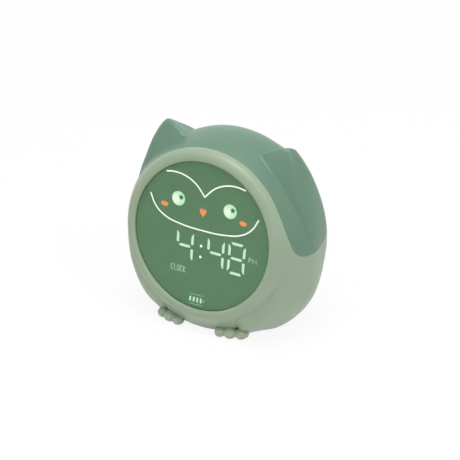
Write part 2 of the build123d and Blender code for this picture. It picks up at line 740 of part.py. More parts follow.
# ---------------------------------------------------------------- night light
def lamp_pieces():
    y0, y1 = ARCH_Y
    upper = block((-FAR, FAR), (0, FAR), (0, FAR))
    arch = (rod(0, 0, ARCH_R, y0, y1) - rod(0, 0, ARCH_R - ARCH_T, y0, y1)) & upper
    for side in (1, -1):
        x = sorted((side * ARCH_R, side * (ARCH_R - ARCH_T)))
        arch += block(x, (y0, y1), (-ARCH_LEG, 0))
    for side in (1, -1):
        arch -= across_rod(side, ARCH_R - 5, 8, *ARCH_SCREW, SCREW_HOLE_R)
    mid = (y0 + y1) / 2
    wedge = []
    for i in range(-1, 2):
        wedge.append(polar(i * STRIP_HALF_ANGLE, 200))
    sector = Polygon((0, 0), wedge[0], polar(-45, 300), wedge[1], polar(45, 300), wedge[2], align=None)
    span = slab(sector, mid - STRIP_W / 2, mid + STRIP_W / 2)
    ring = rod(0, 0, ARCH_R + STRIP_T, y0, y1) - rod(0, 0, ARCH_R, y0, y1)
    strip = ring & span
    wide, deep, tall = LAMP_LED
    base = ARCH_R + STRIP_T + 0.02
    led = block((-wide / 2, wide / 2), (mid - deep / 2, mid + deep / 2), (base, base + tall))
    leds = group([Rot(Y=angle) * led for angle in LAMP_LED_ANGLES])
    return {"lamp_reflector": arch, "lamp_strip": strip, "lamp_leds": leds}


# ---------------------------------------------------------------- buttons
def button(x, z):
    flange_back = BACK_INNER_Y - BUTTON_REST
    flange_front = flange_back - BUTTON_FLANGE_T
    cap = rod(0, 0, BUTTON_R, flange_back, BACK_Y + BUTTON_PROUD)
    rim = cap.faces().sort_by(Axis.Y)[-1].edges()
    cap = fillet(rim, 0.8)
    flange = rod(0, 0, BUTTON_FLANGE_R, flange_front, flange_back)
    stem = rod(0, 0, STEM_R, tact_top() + PLUNGER_PROUD, flange_front)
    return Pos(x, 0, z) * (cap + flange + stem)


def tact_top():
    return MAIN_BACK_Y + TACT_T


def plunger(x, z):
    end = tact_top() + PLUNGER_PROUD
    return rod(x, z, PLUNGER_R, end - PLUNGER_L, end)


def tact_switch(x, z):
    half = TACT_SIDE / 2
    case = block((x - half, x + half), (MAIN_BACK_Y, tact_top()), (z - half, z + half))
    bore = rod(x, z, PLUNGER_R + PLUNGER_FIT, MAIN_BACK_Y + TACT_BORE_FLOOR, tact_top())
    return case - bore


def button_pieces():
    pieces = {}
    cases = []
    for z, names in zip(BUTTON_Z, BUTTON_NAMES):
        for x, name in zip(BUTTON_X, names):
            pieces["button_" + name] = button(x, z)
            pieces["plunger_" + name] = plunger(x, z)
            cases.append(tact_switch(x, z))
    pieces["tact_switches"] = group(cases)
    return pieces


# ---------------------------------------------------------------- main board and what it carries
def board_pieces():
    board = block((-MAIN_BOARD_X, MAIN_BOARD_X), (MAIN_BOARD_Y, MAIN_BACK_Y), MAIN_BOARD_Z)
    for x, z in MAIN_POINTS:
        board -= rod(x, z, SCREW_HOLE_R, MAIN_BOARD_Y, MAIN_BACK_Y)
    wide, tall, thick = CHIP
    x, z = CHIP_AT
    chip = block(
        (x - wide / 2, x + wide / 2), (MAIN_BOARD_Y - thick, MAIN_BOARD_Y), (z - tall / 2, z + tall / 2)
    )
    plugs = group([plug_block(at, MAIN_BOARD_Y - PLUG[1], MAIN_BOARD_Y) for at in PLUG_AT.values()])
    return {
        "main_board": board,
        "clock_chip": chip,
        "board_plugs": plugs,
        "usb_socket": usb_socket(),
        "slide_case": slide_case(),
        "slide_knob": slide_knob(),
    }


def usb_socket():
    back = BACK_Y - USB_SINK
    shell = slab(SlotOverall(USB_W, USB_H), MAIN_BACK_Y, back)
    mouth = SlotOverall(USB_W - 2 * USB_WALL, USB_H - 2 * USB_WALL)
    shell -= slab(mouth, MAIN_BACK_Y + 1.2, back)
    reach = USB_W / 2 - 1.3
    half = USB_TONGUE_T / 2
    blade = block((-reach, reach), (MAIN_BACK_Y + 1.0, back - 0.8), (-half, half))
    return Pos(USB_AT[0], 0, USB_AT[1]) * (shell + blade)


def slide_case():
    wide, deep, tall = SLIDE_CASE
    case = block((-wide / 2, wide / 2), (MAIN_BACK_Y, MAIN_BACK_Y + deep), (-tall / 2, tall / 2))
    half = (SLIDE_TRAVEL + SLIDE_STEM) / 2 + SLIDE_PLAY
    rise = SLIDE_STEM / 2 + SLIDE_PLAY
    floor = MAIN_BACK_Y + deep - SLIDE_STEM_SINK - 0.4
    case -= block((-half, half), (floor, MAIN_BACK_Y + deep), (-rise, rise))
    return Pos(SLIDE_AT[0], 0, SLIDE_AT[1]) * case


def slide_knob():
    """At the end of its travel nearer the middle."""
    top = MAIN_BACK_Y + SLIDE_CASE[1]
    wide, tall = SLIDE_KNOB
    knob = block((-wide / 2, wide / 2), (top + SLIDE_SHOULDER, BACK_Y + SLIDE_PROUD), (-tall / 2, tall / 2))
    half = SLIDE_STEM / 2
    stem = block((-half, half), (top - SLIDE_STEM_SINK, top + SLIDE_SHOULDER), (-half, half))
    for i in (-1, 0, 1):
        groove = Pos(i * 0.9, BACK_Y + SLIDE_PROUD, 0) * Box(0.35, 0.6, tall)
        knob -= groove
    return Pos(SLIDE_AT[0] - SLIDE_TRAVEL / 2, 0, SLIDE_AT[1]) * (knob + stem)


# ---------------------------------------------------------------- speaker
def speaker_pieces():
    gasket_front = BACK_INNER_Y - GASKET_T
    rim_front = gasket_front - SPEAKER_RIM_T
    basket_front = rim_front - BASKET_L
    gasket = rod(0, 0, SPEAKER_R, gasket_front, BACK_INNER_Y)
    gasket -= rod(0, 0, SPEAKER_R - GASKET_W, gasket_front, BACK_INNER_Y)
    inner_r = SPEAKER_R - GASKET_W
    with BuildPart() as basket:
        with BuildSketch(Plane.XY):
            with BuildLine():
                Polyline(
                    (0, basket_front),
                    (SPEAKER_BACK_R, basket_front),
                    (inner_r, rim_front),
                    (SPEAKER_R, rim_front),
                    (SPEAKER_R, gasket_front),
                    (inner_r, gasket_front),
                    (inner_r - BASKET_WALL, rim_front),
                    (SPEAKER_BACK_R - BASKET_WALL, basket_front + BASKET_WALL),
                    (0, basket_front + BASKET_WALL),
                    (0, basket_front),
                )
            make_face()
        revolve(axis=Axis.Y)
    frame = basket.part
    frame += block((-2, 2), (basket_front, basket_front + 1), (SPEAKER_BACK_R - 1, SPEAKER_BACK_R + 2.5))
    with BuildPart() as cone:
        with BuildSketch(Plane.XY):
            with BuildLine():
                wide = inner_r - BASKET_WALL - 0.1
                Polyline(
                    (0, rim_front - 1.5),
                    (3.5, rim_front - 2.5),
                    (wide, rim_front + 0.2),
                    (wide, rim_front + 0.2 + SPEAKER_CONE_T),
                    (3.5, rim_front - 2.5 + SPEAKER_CONE_T),
                    (0, rim_front - 1.5 + SPEAKER_CONE_T),
                    (0, rim_front - 1.5),
                )
            make_face()
        revolve(axis=Axis.Y)
    magnet = rod(0, 0, MAGNET_R, basket_front - MAGNET_T, basket_front)
    spot = Pos(0, 0, SPEAKER_Z)
    return {
        "speaker_gasket": spot * gasket,
        "speaker_frame": spot * frame,
        "speaker_cone": spot * cone.part,
        "speaker_magnet": spot * magnet,
    }


# ---------------------------------------------------------------- feet, pads and battery, upright
def foot(side):
    """Three round toes with a sole behind them, and a peg that plugs into the underside."""
    oval = Ellipse(TOE_R, TOE_LONG) & Pos(TOE_R, 0) * Rectangle(2 * TOE_R, 3 * TOE_LONG)
    toe = revolve(oval, axis=Axis.Y)
    sole = RectangleRounded(2 * SOLE_HALF, SOLE_LONG, SOLE_CORNER)
    shape = Pos(0, SOLE_LONG / 2, SOLE_LIFT) * extrude(sole, amount=2 * TOE_R)
    for across in (-1, 0, 1):
        shape += Pos(across * TOE_SPREAD, TOE_SHY * abs(across), TOE_R) * toe
    x, y = foot_spot(side, 0)
    shape = Pos(x, y, 0) * Rot(Z=side * FOOT_TURN) * shape
    gap = SEAT_GAP + FOOT_PLAY
    under = unlean(body(-gap, straight=True) + wing(side, -gap, straight=True))
    under &= block((-FAR, FAR), (-FAR, FAR), (BASE_GAP - SEAT_GAP, FAR))
    shape -= under
    shape = max(shape.solids(), key=lambda solid: solid.volume)
    x, y = foot_spot(side, PEG_BACK)
    shape += pillar(x, y, PEG_R, BASE_GAP - 0.6, FLOOR_Z - SEAT_GAP)
    return shape - pillar(x, y, PILOT_R, FOOT_SEAT_Z - SHORT_L - 0.2, FLOOR_Z + 1)


def unlean(shape):
    """From the body frame to upright."""
    return Pos(0, 0, FACE_HEIGHT) * Rot(X=-LEAN) * shape


def pads():
    made = []
    for side in (1, -1):
        x, y = side * PAD_AT[0], PAD_AT[1]
        made.append(pillar(x, y, PAD_R, 0, BASE_GAP) + pillar(x, y, PAD_PEG_R, BASE_GAP, FLOOR_Z + 0.5))
    return group(made)


def cell_rod(radius, half):
    return Pos(0, CELL_Y, CELL_Z) * Rot(Y=90) * Cylinder(radius, 2 * half)


def cell_tabs():
    made = []
    for side in (1, -1):
        x = sorted((side * CELL_L / 2, side * (CELL_L / 2 + TAB_T)))
        y = (CELL_Y - TAB_W / 2, CELL_Y + TAB_W / 2)
        made.append(block(x, y, (CELL_Z - TAB_W / 2, CELL_Z + CELL_R + 3)))
    return group(made)


def cradle():
    half = CELL_L / 2 + CRADLE_END_PLAY
    out = half + CRADLE_END
    reach = CELL_R + CELL_PLAY + CRADLE_WALL
    made = block((-out, out), (CELL_Y - reach, CELL_Y + reach), (FLOOR_Z, CELL_Z + CRADLE_GRIP))
    made -= cell_rod(CELL_R + CELL_PLAY, half)
    lug_x, lug_y = CRADLE_LUG
    for side in (1, -1):
        x = (side * lug_x - LUG_HALF, side * lug_x + LUG_HALF)
        y = (CELL_Y + reach - 1, lug_y + LUG_HALF)
        made += block(x, y, (LUG_Z, LUG_Z + LUG_T))
        made -= pillar(side * lug_x, lug_y, SCREW_HOLE_R, LUG_Z, LUG_Z + LUG_T)
    made &= unlean(body(WALL + FLANGE_GAP))
    return max(made.solids(), key=lambda solid: solid.volume)


# ---------------------------------------------------------------- screws and leads
def long_screws():
    made = []
    back = Rot(X=-90)
    front = Rot(X=90)
    for x, z in DISPLAY_POINTS:
        made.append(Pos(x, DISPLAY_BACK_Y, z) * back * screw(DISPLAY_BACK_Y - MASK_Y - 0.8))
    for x, z in COVER_POINTS:
        made.append(Pos(x, COVER_SEAT_Y, z) * back * screw(SCREW_L))
    for x, z in MAIN_POINTS:
        made.append(Pos(x, MAIN_BOARD_Y, z) * front * screw(SCREW_L - 0.4))
    for side in (1, -1):
        y, z = ARCH_SCREW
        made.append(Pos(side * (ARCH_R - ARCH_T), y, z) * Rot(Y=-side * 90) * screw(SCREW_L))
    return made


def short_screws():
    made = []
    for side in (1, -1):
        x, y = foot_spot(side, PEG_BACK)
        made.append(Pos(x, y, FOOT_SEAT_Z) * screw(SHORT_L))
        made.append(Pos(side * CRADLE_LUG[0], CRADLE_LUG[1], LUG_Z + LUG_T) * screw(SHORT_L))
    return group(made)


def lead(points, bend):
    path = FilletPolyline(*points, radius=bend)
    start = Plane(origin=path @ 0, z_dir=path % 0)
    return sweep(start * Circle(WIRE_R), path=path)


def lead_pieces():
    plug_y = MAIN_BOARD_Y - PLUG[1]
    x, z = PLUG_AT["display"]
    u, w = DISPLAY_PLUG
    display = lead([(u, DISPLAY_BACK_Y + PLUG[1], w), (u, 30, w), (x, 48, z), (x, plug_y, z)], 10)
    x, z = PLUG_AT["lamp"]
    out = ARCH_R + STRIP_T + WIRE_R + 0.05
    row = [(-out, 34, 5), (-out, 39, -8), (-out, 39, -25), (-28, 47, -24), (x, 54, z), (x, plug_y, z)]
    lamp = lead(row, 4.5)
    x, z = PLUG_AT["speaker"]
    tip = SPEAKER_Z + SPEAKER_BACK_R + 1.4
    start = BACK_INNER_Y - GASKET_T - SPEAKER_RIM_T - BASKET_L
    speaker = lead([(0, start, tip), (0, 57, tip), (x, 57, z), (x, plug_y, z)], 4)
    x, z = PLUG_AT["battery"]
    out = CELL_L / 2 + TAB_T + WIRE_R + 0.05
    cell = lean(Pos(out, CELL_Y, CELL_Z + CELL_R + 2) * Vertex(0, 0, 0))
    y0, z0 = cell.center().Y, cell.center().Z
    battery = lead([(out, y0, z0), (out, y0 + 14, z0), (x, 53, z), (x, plug_y, z)], 5)
    return {
        "display_lead": display,
        "lamp_lead": lamp,
        "speaker_lead": speaker,
        "battery_lead": battery,
    }


# ---------------------------------------------------------------- assembly
def pieces():
    leaning = {
        "front_housing": front_housing(),
        "rear_cover": rear_cover(),
        "night_light_shade": night_light_shade(),
        "screws": group(long_screws()),
    }
    leaning.update(screen_pieces())
    leaning.update(lamp_pieces())
    leaning.update(button_pieces())
    leaning.update(board_pieces())
    leaning.update(speaker_pieces())
    leaning.update(lead_pieces())
    upright = {
        "left_foot": foot(1),
        "right_foot": foot(-1),
        "rear_pads": pads(),
        "battery_cell": cell_rod(CELL_R, CELL_L / 2),
        "battery_tabs": cell_tabs(),
        "battery_cradle": cradle(),
        "short_screws": short_screws(),
    }
    made = {name: place(shape) for name, shape in leaning.items()}
    made.update({name: stand(shape) for name, shape in upright.items()})
    return made


if __name__ == "__main__":
    os.makedirs("parts", exist_ok=True)
    for name, shape in pieces().items():
        export_step(shape, "parts/" + name + ".step")
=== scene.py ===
import math

import bmesh
import bpy
import numpy as np
from mathutils import Matrix, Vector


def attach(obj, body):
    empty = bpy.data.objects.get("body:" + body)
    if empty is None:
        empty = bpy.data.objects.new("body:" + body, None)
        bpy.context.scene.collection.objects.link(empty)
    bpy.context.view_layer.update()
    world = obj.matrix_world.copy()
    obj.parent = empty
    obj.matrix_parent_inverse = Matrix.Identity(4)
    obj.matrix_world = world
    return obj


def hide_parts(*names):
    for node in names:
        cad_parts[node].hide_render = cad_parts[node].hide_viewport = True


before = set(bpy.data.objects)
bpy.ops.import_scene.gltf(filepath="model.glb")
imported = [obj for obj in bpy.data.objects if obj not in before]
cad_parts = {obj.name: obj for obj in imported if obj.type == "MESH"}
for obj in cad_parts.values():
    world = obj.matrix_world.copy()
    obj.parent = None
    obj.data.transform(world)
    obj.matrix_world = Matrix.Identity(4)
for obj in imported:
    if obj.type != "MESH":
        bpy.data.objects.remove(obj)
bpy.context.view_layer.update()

# ---------------------------------------------------------------- camera
# A long lens looks down on the clock's face from a little to its right.
# It aims just beside the middle of the screen.
FACE_MIDDLE = Vector((0, -0.0362, 0.0673))
CAMERA_TURN = math.radians(30.45)
CAMERA_RISE = math.radians(27.01)
CAMERA_AWAY = 1.5
CAMERA_ASIDE = 0.01841
CAMERA_LIFT = 0.0042
LENS_LENGTH = 182.5
SENSOR_W = 36.0
SIGHT_END = 20.0
to_camera = Vector((
    math.sin(CAMERA_TURN) * math.cos(CAMERA_RISE),
    -math.cos(CAMERA_TURN) * math.cos(CAMERA_RISE),
    math.sin(CAMERA_RISE),
))
camera_right = Vector((math.cos(CAMERA_TURN), math.sin(CAMERA_TURN), 0))
camera_up = to_camera.cross(camera_right)
camera = bpy.data.objects.new("camera", bpy.data.cameras.new("camera"))
camera.data.lens = LENS_LENGTH
camera.data.sensor_width = SENSOR_W
camera.data.clip_end = SIGHT_END
aside = CAMERA_ASIDE * camera_right + CAMERA_LIFT * camera_up
camera.location = FACE_MIDDLE + CAMERA_AWAY * to_camera + aside
camera.rotation_euler = Matrix((camera_right, camera_up, to_camera)).transposed().to_euler()
bpy.context.scene.collection.objects.link(camera)
bpy.context.scene.camera = camera
bpy.context.scene.view_settings.view_transform = "Standard"

# ---------------------------------------------------------------- studio
# A white table top in a white tent, lit by one large soft lamp from above and two small
# ones in front, which leave the small highlights.
CLOCK_MIDDLE = (0, 0, 0.06)
# (name, place, width, watts)
LAMPS = (
    ("top_lamp", (0.1, -0.1, 1.4), 0.8, 10.0),
    ("right_lamp", (0.95, -0.3, 1.1), 0.22, 1.9),
    ("left_lamp", (-0.25, -0.95, 1.15), 0.16, 1.0),
)
TENT_LIGHT = 0.56
SEEN_WHITE = 1.0
TABLE_HALF = 4.0
TABLE_COLOUR = (0.93, 0.93, 0.93, 1)
TABLE_SEEN_SHARE = 0.9


def paint(red, green, blue):
    """A colour from its screen values, 0 to 255, as the shader wants it."""
    linear = []
    for value in (red, green, blue):
        value /= 255
        linear.append(value / 12.92 if value <= 0.04045 else ((value + 0.055) / 1.055) ** 2.4)
    return (*linear, 1.0)


def fresh_material(name):
    """A new material with nothing in it, its nodes and its links."""
    made = bpy.data.materials.new(name)
    made.use_nodes = True
    made.node_tree.nodes.clear()
    return made, made.node_tree.nodes, made.node_tree.links


def seen_by(nodes, links, *rays):
    """1 for the named kinds of ray, and 0 for all others."""
    path = nodes.new("ShaderNodeLightPath")
    seen = path.outputs[rays[0]]
    for ray in rays[1:]:
        either = nodes.new("ShaderNodeMath")
        either.operation = "MAXIMUM"
        links.new(seen, either.inputs[0])
        links.new(path.outputs[ray], either.inputs[1])
        seen = either.outputs[0]
    return seen


for name, place, width, watts in LAMPS:
    light = bpy.data.lights.new(name, "AREA")
    light.shape = "DISK"
    light.size = width
    light.energy = watts
    lamp = bpy.data.objects.new(name, light)
    lamp.location = place
    lamp.rotation_euler = (Vector(place) - Vector(CLOCK_MIDDLE)).to_track_quat("Z", "Y").to_euler()
    bpy.context.scene.collection.objects.link(lamp)

world = bpy.data.worlds.new("tent")
world.use_nodes = True
nodes, links = world.node_tree.nodes, world.node_tree.links
nodes.clear()
tent_light = nodes.new("ShaderNodeBackground")
tent_light.inputs["Color"].default_value = (1, 1, 1, 1)
tent_light.inputs["Strength"].default_value = TENT_LIGHT
tent_seen = nodes.new("ShaderNodeBackground")
tent_seen.inputs["Color"].default_value = (1, 1, 1, 1)
tent_seen.inputs["Strength"].default_value = SEEN_WHITE
tent_mix = nodes.new("ShaderNodeMixShader")
tent_out = nodes.new("ShaderNodeOutputWorld")
seen = seen_by(nodes, links, "Is Camera Ray", "Is Glossy Ray", "Is Transmission Ray")
links.new(seen, tent_mix.inputs["Fac"])
links.new(tent_light.outputs[0], tent_mix.inputs[1])
links.new(tent_seen.outputs[0], tent_mix.inputs[2])
links.new(tent_mix.outputs[0], tent_out.inputs[0])
bpy.context.scene.world = world

table = bmesh.new()
bmesh.ops.create_grid(table, x_segments=1, y_segments=1, size=TABLE_HALF)
table_mesh = bpy.data.meshes.new("table_top")
table.to_mesh(table_mesh)
table.free()
table_top = bpy.data.objects.new("table_top", table_mesh)
bpy.context.scene.collection.objects.link(table_top)
white_table, nodes, links = fresh_material("white_table")
table_matt = nodes.new("ShaderNodeBsdfDiffuse")
table_matt.inputs["Color"].default_value = TABLE_COLOUR
table_glow = nodes.new("ShaderNodeEmission")
table_glow.inputs["Strength"].default_value = SEEN_WHITE
table_share = nodes.new("ShaderNodeMath")
table_share.operation = "MULTIPLY"
table_share.inputs[1].default_value = TABLE_SEEN_SHARE
table_mix = nodes.new("ShaderNodeMixShader")
table_out = nodes.new("ShaderNodeOutputMaterial")
links.new(seen_by(nodes, links, "Is Camera Ray", "Is Glossy Ray"), table_share.inputs[0])
links.new(table_share.outputs[0], table_mix.inputs["Fac"])
links.new(table_matt.outputs[0], table_mix.inputs[1])
links.new(table_glow.outputs[0], table_mix.inputs[2])
links.new(table_mix.outputs[0], table_out.inputs[0])
table_mesh.materials.append(white_table)

# ---------------------------------------------------------------- casing
# The sage housing and the grey-teal night-light shade are two mouldings with one common
# outer form: a turned body behind a round bezel, with folded wings low on its flanks and
# two ear tufts on top. The shade is let into the housing along a U-shaped seam.
LEAN = math.radians(8.5)
MM = 0.001
# from millimetres about the middle of the screen, with the face upright, into the clock's place
LEANING = Matrix.Translation(FACE_MIDDLE) @ Matrix.Rotation(-LEAN, 4, "X") @ Matrix.Scale(MM, 4)


def add_piece(name, mesh, material, body="clock", smooth=True):
    """A finished piece, standing at the origin, on its body."""
    piece = bpy.data.objects.new(name, mesh)
    bpy.context.scene.collection.objects.link(piece)
    mesh.materials.clear()
    mesh.materials.append(material)
    if smooth:
        mesh.shade_smooth()
    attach(piece, body)
    return piece


def mesh_of(work, name, place):
    """Closes a working mesh, in millimetres, into a mesh in its place."""
    work.transform(place)
    mesh = bpy.data.meshes.new(name)
    work.to_mesh(mesh)
    work.free()
    return mesh


def evaluated(piece):
    """A piece's mesh with its modifiers done."""
    bpy.context.view_layer.update()
    seen = piece.evaluated_get(bpy.context.evaluated_depsgraph_get())
    return bpy.data.meshes.new_from_object(seen)


# how a moulding's colour and gloss drift over it, and its eroded grain
DRIFT_SCALE = 38.0
DRIFT_DETAIL = 4.0
GLOSS_DRIFT = 0.04
GRAIN_SCALE = 2600.0
GRAIN_DETAIL = 2.0
GRAIN_DEPTH = 0.00006
THROUGH_DEPTH = 0.002


def moulded(name, colour, roughness, grain=0.25, drift=0.05, gloss_level=0.5, through=0.0):
    """Moulded plastic: a fine eroded grain, and a colour and gloss that drift very slightly."""
    made, nodes, links = fresh_material(name)
    shader = nodes.new("ShaderNodeBsdfPrincipled")
    out = nodes.new("ShaderNodeOutputMaterial")
    place = nodes.new("ShaderNodeTexCoord")
    cloud = nodes.new("ShaderNodeTexNoise")
    cloud.inputs["Scale"].default_value = DRIFT_SCALE
    cloud.inputs["Detail"].default_value = DRIFT_DETAIL
    tint = nodes.new("ShaderNodeMix")
    tint.data_type = "RGBA"
    tint.inputs["A"].default_value = (*[c * (1 - drift) for c in colour[:3]], 1)
    tint.inputs["B"].default_value = (*[min(1, c * (1 + drift)) for c in colour[:3]], 1)
    gloss = nodes.new("ShaderNodeMapRange")
    gloss.inputs["To Min"].default_value = roughness - GLOSS_DRIFT
    gloss.inputs["To Max"].default_value = roughness + GLOSS_DRIFT
    fine = nodes.new("ShaderNodeTexNoise")
    fine.inputs["Scale"].default_value = GRAIN_SCALE
    fine.inputs["Detail"].default_value = GRAIN_DETAIL
    bump = nodes.new("ShaderNodeBump")
    bump.inputs["Strength"].default_value = grain
    bump.inputs["Distance"].default_value = GRAIN_DEPTH
    shader.inputs["Specular IOR Level"].default_value = gloss_level
    shader.inputs["Subsurface Weight"].default_value = through
    shader.inputs["Subsurface Scale"].default_value = THROUGH_DEPTH
    shader.inputs["Subsurface Radius"].default_value = (1.0, 1.0, 1.0)
    links.new(place.outputs["Object"], cloud.inputs["Vector"])
    links.new(place.outputs["Object"], fine.inputs["Vector"])
    links.new(cloud.outputs["Fac"], tint.inputs["Factor"])
    links.new(cloud.outputs["Fac"], gloss.inputs["Value"])
    links.new(tint.outputs["Result"], shader.inputs["Base Color"])
    links.new(gloss.outputs["Result"], shader.inputs["Roughness"])
    links.new(fine.outputs["Fac"], bump.inputs["Height"])
    links.new(bump.outputs["Normal"], shader.inputs["Normal"])
    links.new(shader.outputs[0], out.inputs[0])
    return made


def eased(rows, at):
    """The values of a table at a place along it, on a smooth curve through its rows."""
    rows = [np.array(row, float) for row in rows]
    if at <= rows[0][0]:
        return rows[0][1:]
    if at >= rows[-1][0]:
        return rows[-1][1:]
    i = max(k for k in range(len(rows) - 1) if rows[k][0] <= at)
    before, after = rows[max(i - 1, 0)], rows[min(i + 2, len(rows) - 1)]
    start, end = rows[i], rows[i + 1]
    span = end[0] - start[0]
    lead_in = (end - before)[1:] / (end - before)[0] * span
    lead_out = (after - start)[1:] / (after - start)[0] * span
    t = (at - start[0]) / span
    return (
        start[1:] * (2 * t**3 - 3 * t**2 + 1) + lead_in * (t**3 - 2 * t**2 + t)
        + end[1:] * (3 * t**2 - 2 * t**3) + lead_out * (t**3 - t**2)
    )


def step_up(value, low, high):
    """From 0 at low to 1 at high, with soft ends."""
    t = min(1.0, max(0.0, (value - low) / (high - low)))
    return t * t * (3 - 2 * t)


def lower_of(a, b, width):
    """The lower of two heights, with a rounded ridge where they meet."""
    return min(a, b) - max(width - abs(a - b), 0.0) ** 2 / (4 * width)


def higher_of(a, b, width):
    """The higher of two heights, with a rounded valley where they meet."""
    return max(a, b) + max(width - abs(a - b), 0.0) ** 2 / (4 * width)


# (radius, depth) from the bezel's inner lip, over its crest and back to the rear cover
CASING_ROW = (
    (50.0, 0.4), (50.0, -0.5), (50.35, -1.05), (51.2, -1.45), (52.4, -1.54), (53.9, -1.2),
    (55.3, -0.5), (56.5, 0.7), (57.5, 2.2), (58.5, 4.1), (60.0, 6.3), (61.3, 8.7), (62.9, 13.0),
    (64.3, 18.0), (65.7, 24.0), (66.5, 30.0), (66.4, 37.0), (65.3, 44.0), (62.3, 51.5), (59.0, 57.5),
    (55.8, 61.75),
)
# the spacing of the rows of faces, closer in front, and how many faces go round
FINE_ROWS_TO = 21.0
FINE_ROW = 0.48
COARSE_ROW = 1.45
CASING_STEPS = 440
WELD = 0.001
# behind the bezel the body hangs a little lower than the screen's middle
BODY_DROP = 1.5
BODY_DROP_DEPTHS = (0.5, 9.0)
# the flat underside's height over the table, in metres
UNDERSIDE_Z = 0.0015

# An ear tuft is a front face, an inner face and a back face under a rounded top. Depths run
# back from the screen, and angles are degrees round from the top.
# (angle, depth of the front valley, height of the tuft, depth of the back valley)
EAR_ROWS = (
    (24.0, 19.5, 13.6, 43.0),
    (30.0, 17.0, 14.8, 44.0),
    (36.0, 15.2, 14.9, 44.5),
    (46.0, 14.4, 9.8, 46.0),
    (56.0, 15.2, 4.8, 48.5),
    (68.0, 18.0, 2.0, 51.0),
    (80.0, 22.0, 0.6, 52.0),
    (92.0, 28.0, 0.0, 52.0),
)
# (depth, angle) of the valley beside its inner face
EAR_INNER_ROW = ((10.0, 24.4), (16.0, 25.0), (24.0, 27.2), (32.0, 29.8), (42.0, 31.5), (56.0, 36.0))
# how steeply its faces rise, how wide its ridges and valleys are rounded, and where it begins
EAR_FRONT_SLOPE = 2.05
EAR_BACK_SLOPE = 0.89
EAR_INNER_SLOPE = 1.65
EAR_RIDGE_ROUND = 11.5
EAR_ROUND = 4.0
EAR_EDGE_ROUND = 3.4
EAR_VALLEY = 0.8
EAR_ANGLES = (18.0, 24.0)

# A folded wing lies on each flank behind a rounded front edge.
# (angle, depth of the front edge, step there, swell behind it)
WING_ROWS = (
    (92.0, 11.0, 0.0, 0.3),
    (97.0, 9.5, 0.3, 0.6),
    (103.0, 8.0, 0.5, 1.7),
    (110.0, 6.5, 0.9, 4.2),
    (117.0, 5.5, 1.8, 6.5),
    (125.0, 4.5, 3.0, 7.6),
    (133.0, 3.5, 4.4, 7.9),
    (139.0, 2.8, 5.3, 8.0),
    (145.0, 2.8, 5.5, 7.6),
    (149.0, 3.5, 5.2, 6.4),
    (152.0, 5.0, 4.8, 5.4),
    (154.5, 7.8, 4.2, 4.7),
    (156.5, 13.0, 3.2, 3.7),
    (158.5, 22.0, 2.0, 2.4),
    (161.0, 34.0, 0.8, 1.0),
    (164.0, 50.0, 0.0, 0.0),
)
# how far back the edge's round reaches: a base, and a share of the step
WING_EDGE = (1.2, 0.5)
# depth and half width of the crease in front of the edge, full where the step is high enough
WING_GROOVE = (0.6, 1.2)
WING_GROOVE_STEPS = (0.1, 1.0)
MM_PER_DEGREE = 1.13
# the swell starts ahead of the edge, and dies out towards the back
WING_SWELL_AHEAD = 6.0
WING_SWELL_Y = 37.0
WING_SWELL_FULL_Y = 41.0
WING_END_Y = 61.0

# The shade's seam, as (depth, height): down its front, round its bottom and up its back
SEAM_ROW = ((4.5, 26.0), (6.4, 12.5), (12.3, 0.3), (25.0, -3.5), (43.0, 0.6), (51.0, 9.0), (53.0, 20.0))
SEAM_TOP = 95.0
SEAM_CUTS = 8

# The belly is fuller than a turned one between its two wings.
BELLY_RISE = 2.6
BELLY_ANGLES = (148.0, 160.0)
BELLY_DEPTHS = (-1.4, 9.0)
# Towards the back the body is flatter on top and fuller at the sides.
# (angle, how far it stands out)
BACK_ROWS = (
    (0.0, -1.1), (20.0, -0.9), (36.0, -0.3), (56.0, 0.3), (74.0, 1.5), (112.0, 2.6), (128.0, 1.5),
    (142.0, -0.6), (180.0, -1.0),
)
# the depths at which this starts, is full and has ended
BACK_DEPTHS = (40.0, 53.0, 61.8)


def ear_rise(angle, depth, radius):
    """How far an ear tuft stands out of the crown."""
    front, height, back = eased(EAR_ROWS, angle)
    inner = math.radians(angle - eased(EAR_INNER_ROW, depth)[0]) * radius
    rise = lower_of(EAR_FRONT_SLOPE * (depth - front), EAR_BACK_SLOPE * (back - depth), EAR_RIDGE_ROUND)
    rise = lower_of(rise, height, EAR_ROUND)
    rise = lower_of(rise, EAR_INNER_SLOPE * inner, EAR_EDGE_ROUND)
    return higher_of(rise, 0.0, EAR_VALLEY) * step_up(angle, *EAR_ANGLES)


def wing_rise(angle, depth):
    """How far a folded wing stands out: a rounded step at its front edge, then a long swell."""
    front, edge, swell = eased(WING_ROWS, angle)
    if not WING_ROWS[0][0] < angle < WING_ROWS[-1][0] or depth > WING_END_Y:
        return 0.0
    # past is measured square to the edge, which runs slantwise where it turns
    lower, upper = eased(WING_ROWS, angle + 0.5)[0], eased(WING_ROWS, angle - 0.5)[0]
    past = (depth - front) / math.hypot(1, (lower - upper) / MM_PER_DEGREE)
    deep, wide = WING_GROOVE
    groove = deep * step_up(edge, *WING_GROOVE_STEPS) * max(0.0, 1 - abs(past) / wide)
    if past < 0:
        return -groove
    behind = min(1.0, past / (WING_EDGE[0] + WING_EDGE[1] * edge))
    rise = edge * math.sqrt(1 - (1 - behind) ** 2)
    rise += (swell - edge) * step_up(depth, front - WING_SWELL_AHEAD, WING_SWELL_FULL_Y)
    return rise * (1 - step_up(depth, WING_SWELL_Y, WING_END_Y)) - groove


def body_rise(angle, depth):
    """How far the body stands out of its turned form, at the belly and towards the back."""
    belly = BELLY_RISE * step_up(angle, *BELLY_ANGLES) * step_up(depth, *BELLY_DEPTHS)
    start, full, end = BACK_DEPTHS
    return belly + eased(BACK_ROWS, angle)[0] * step_up(depth, start, full) * (1 - step_up(depth, full, end))


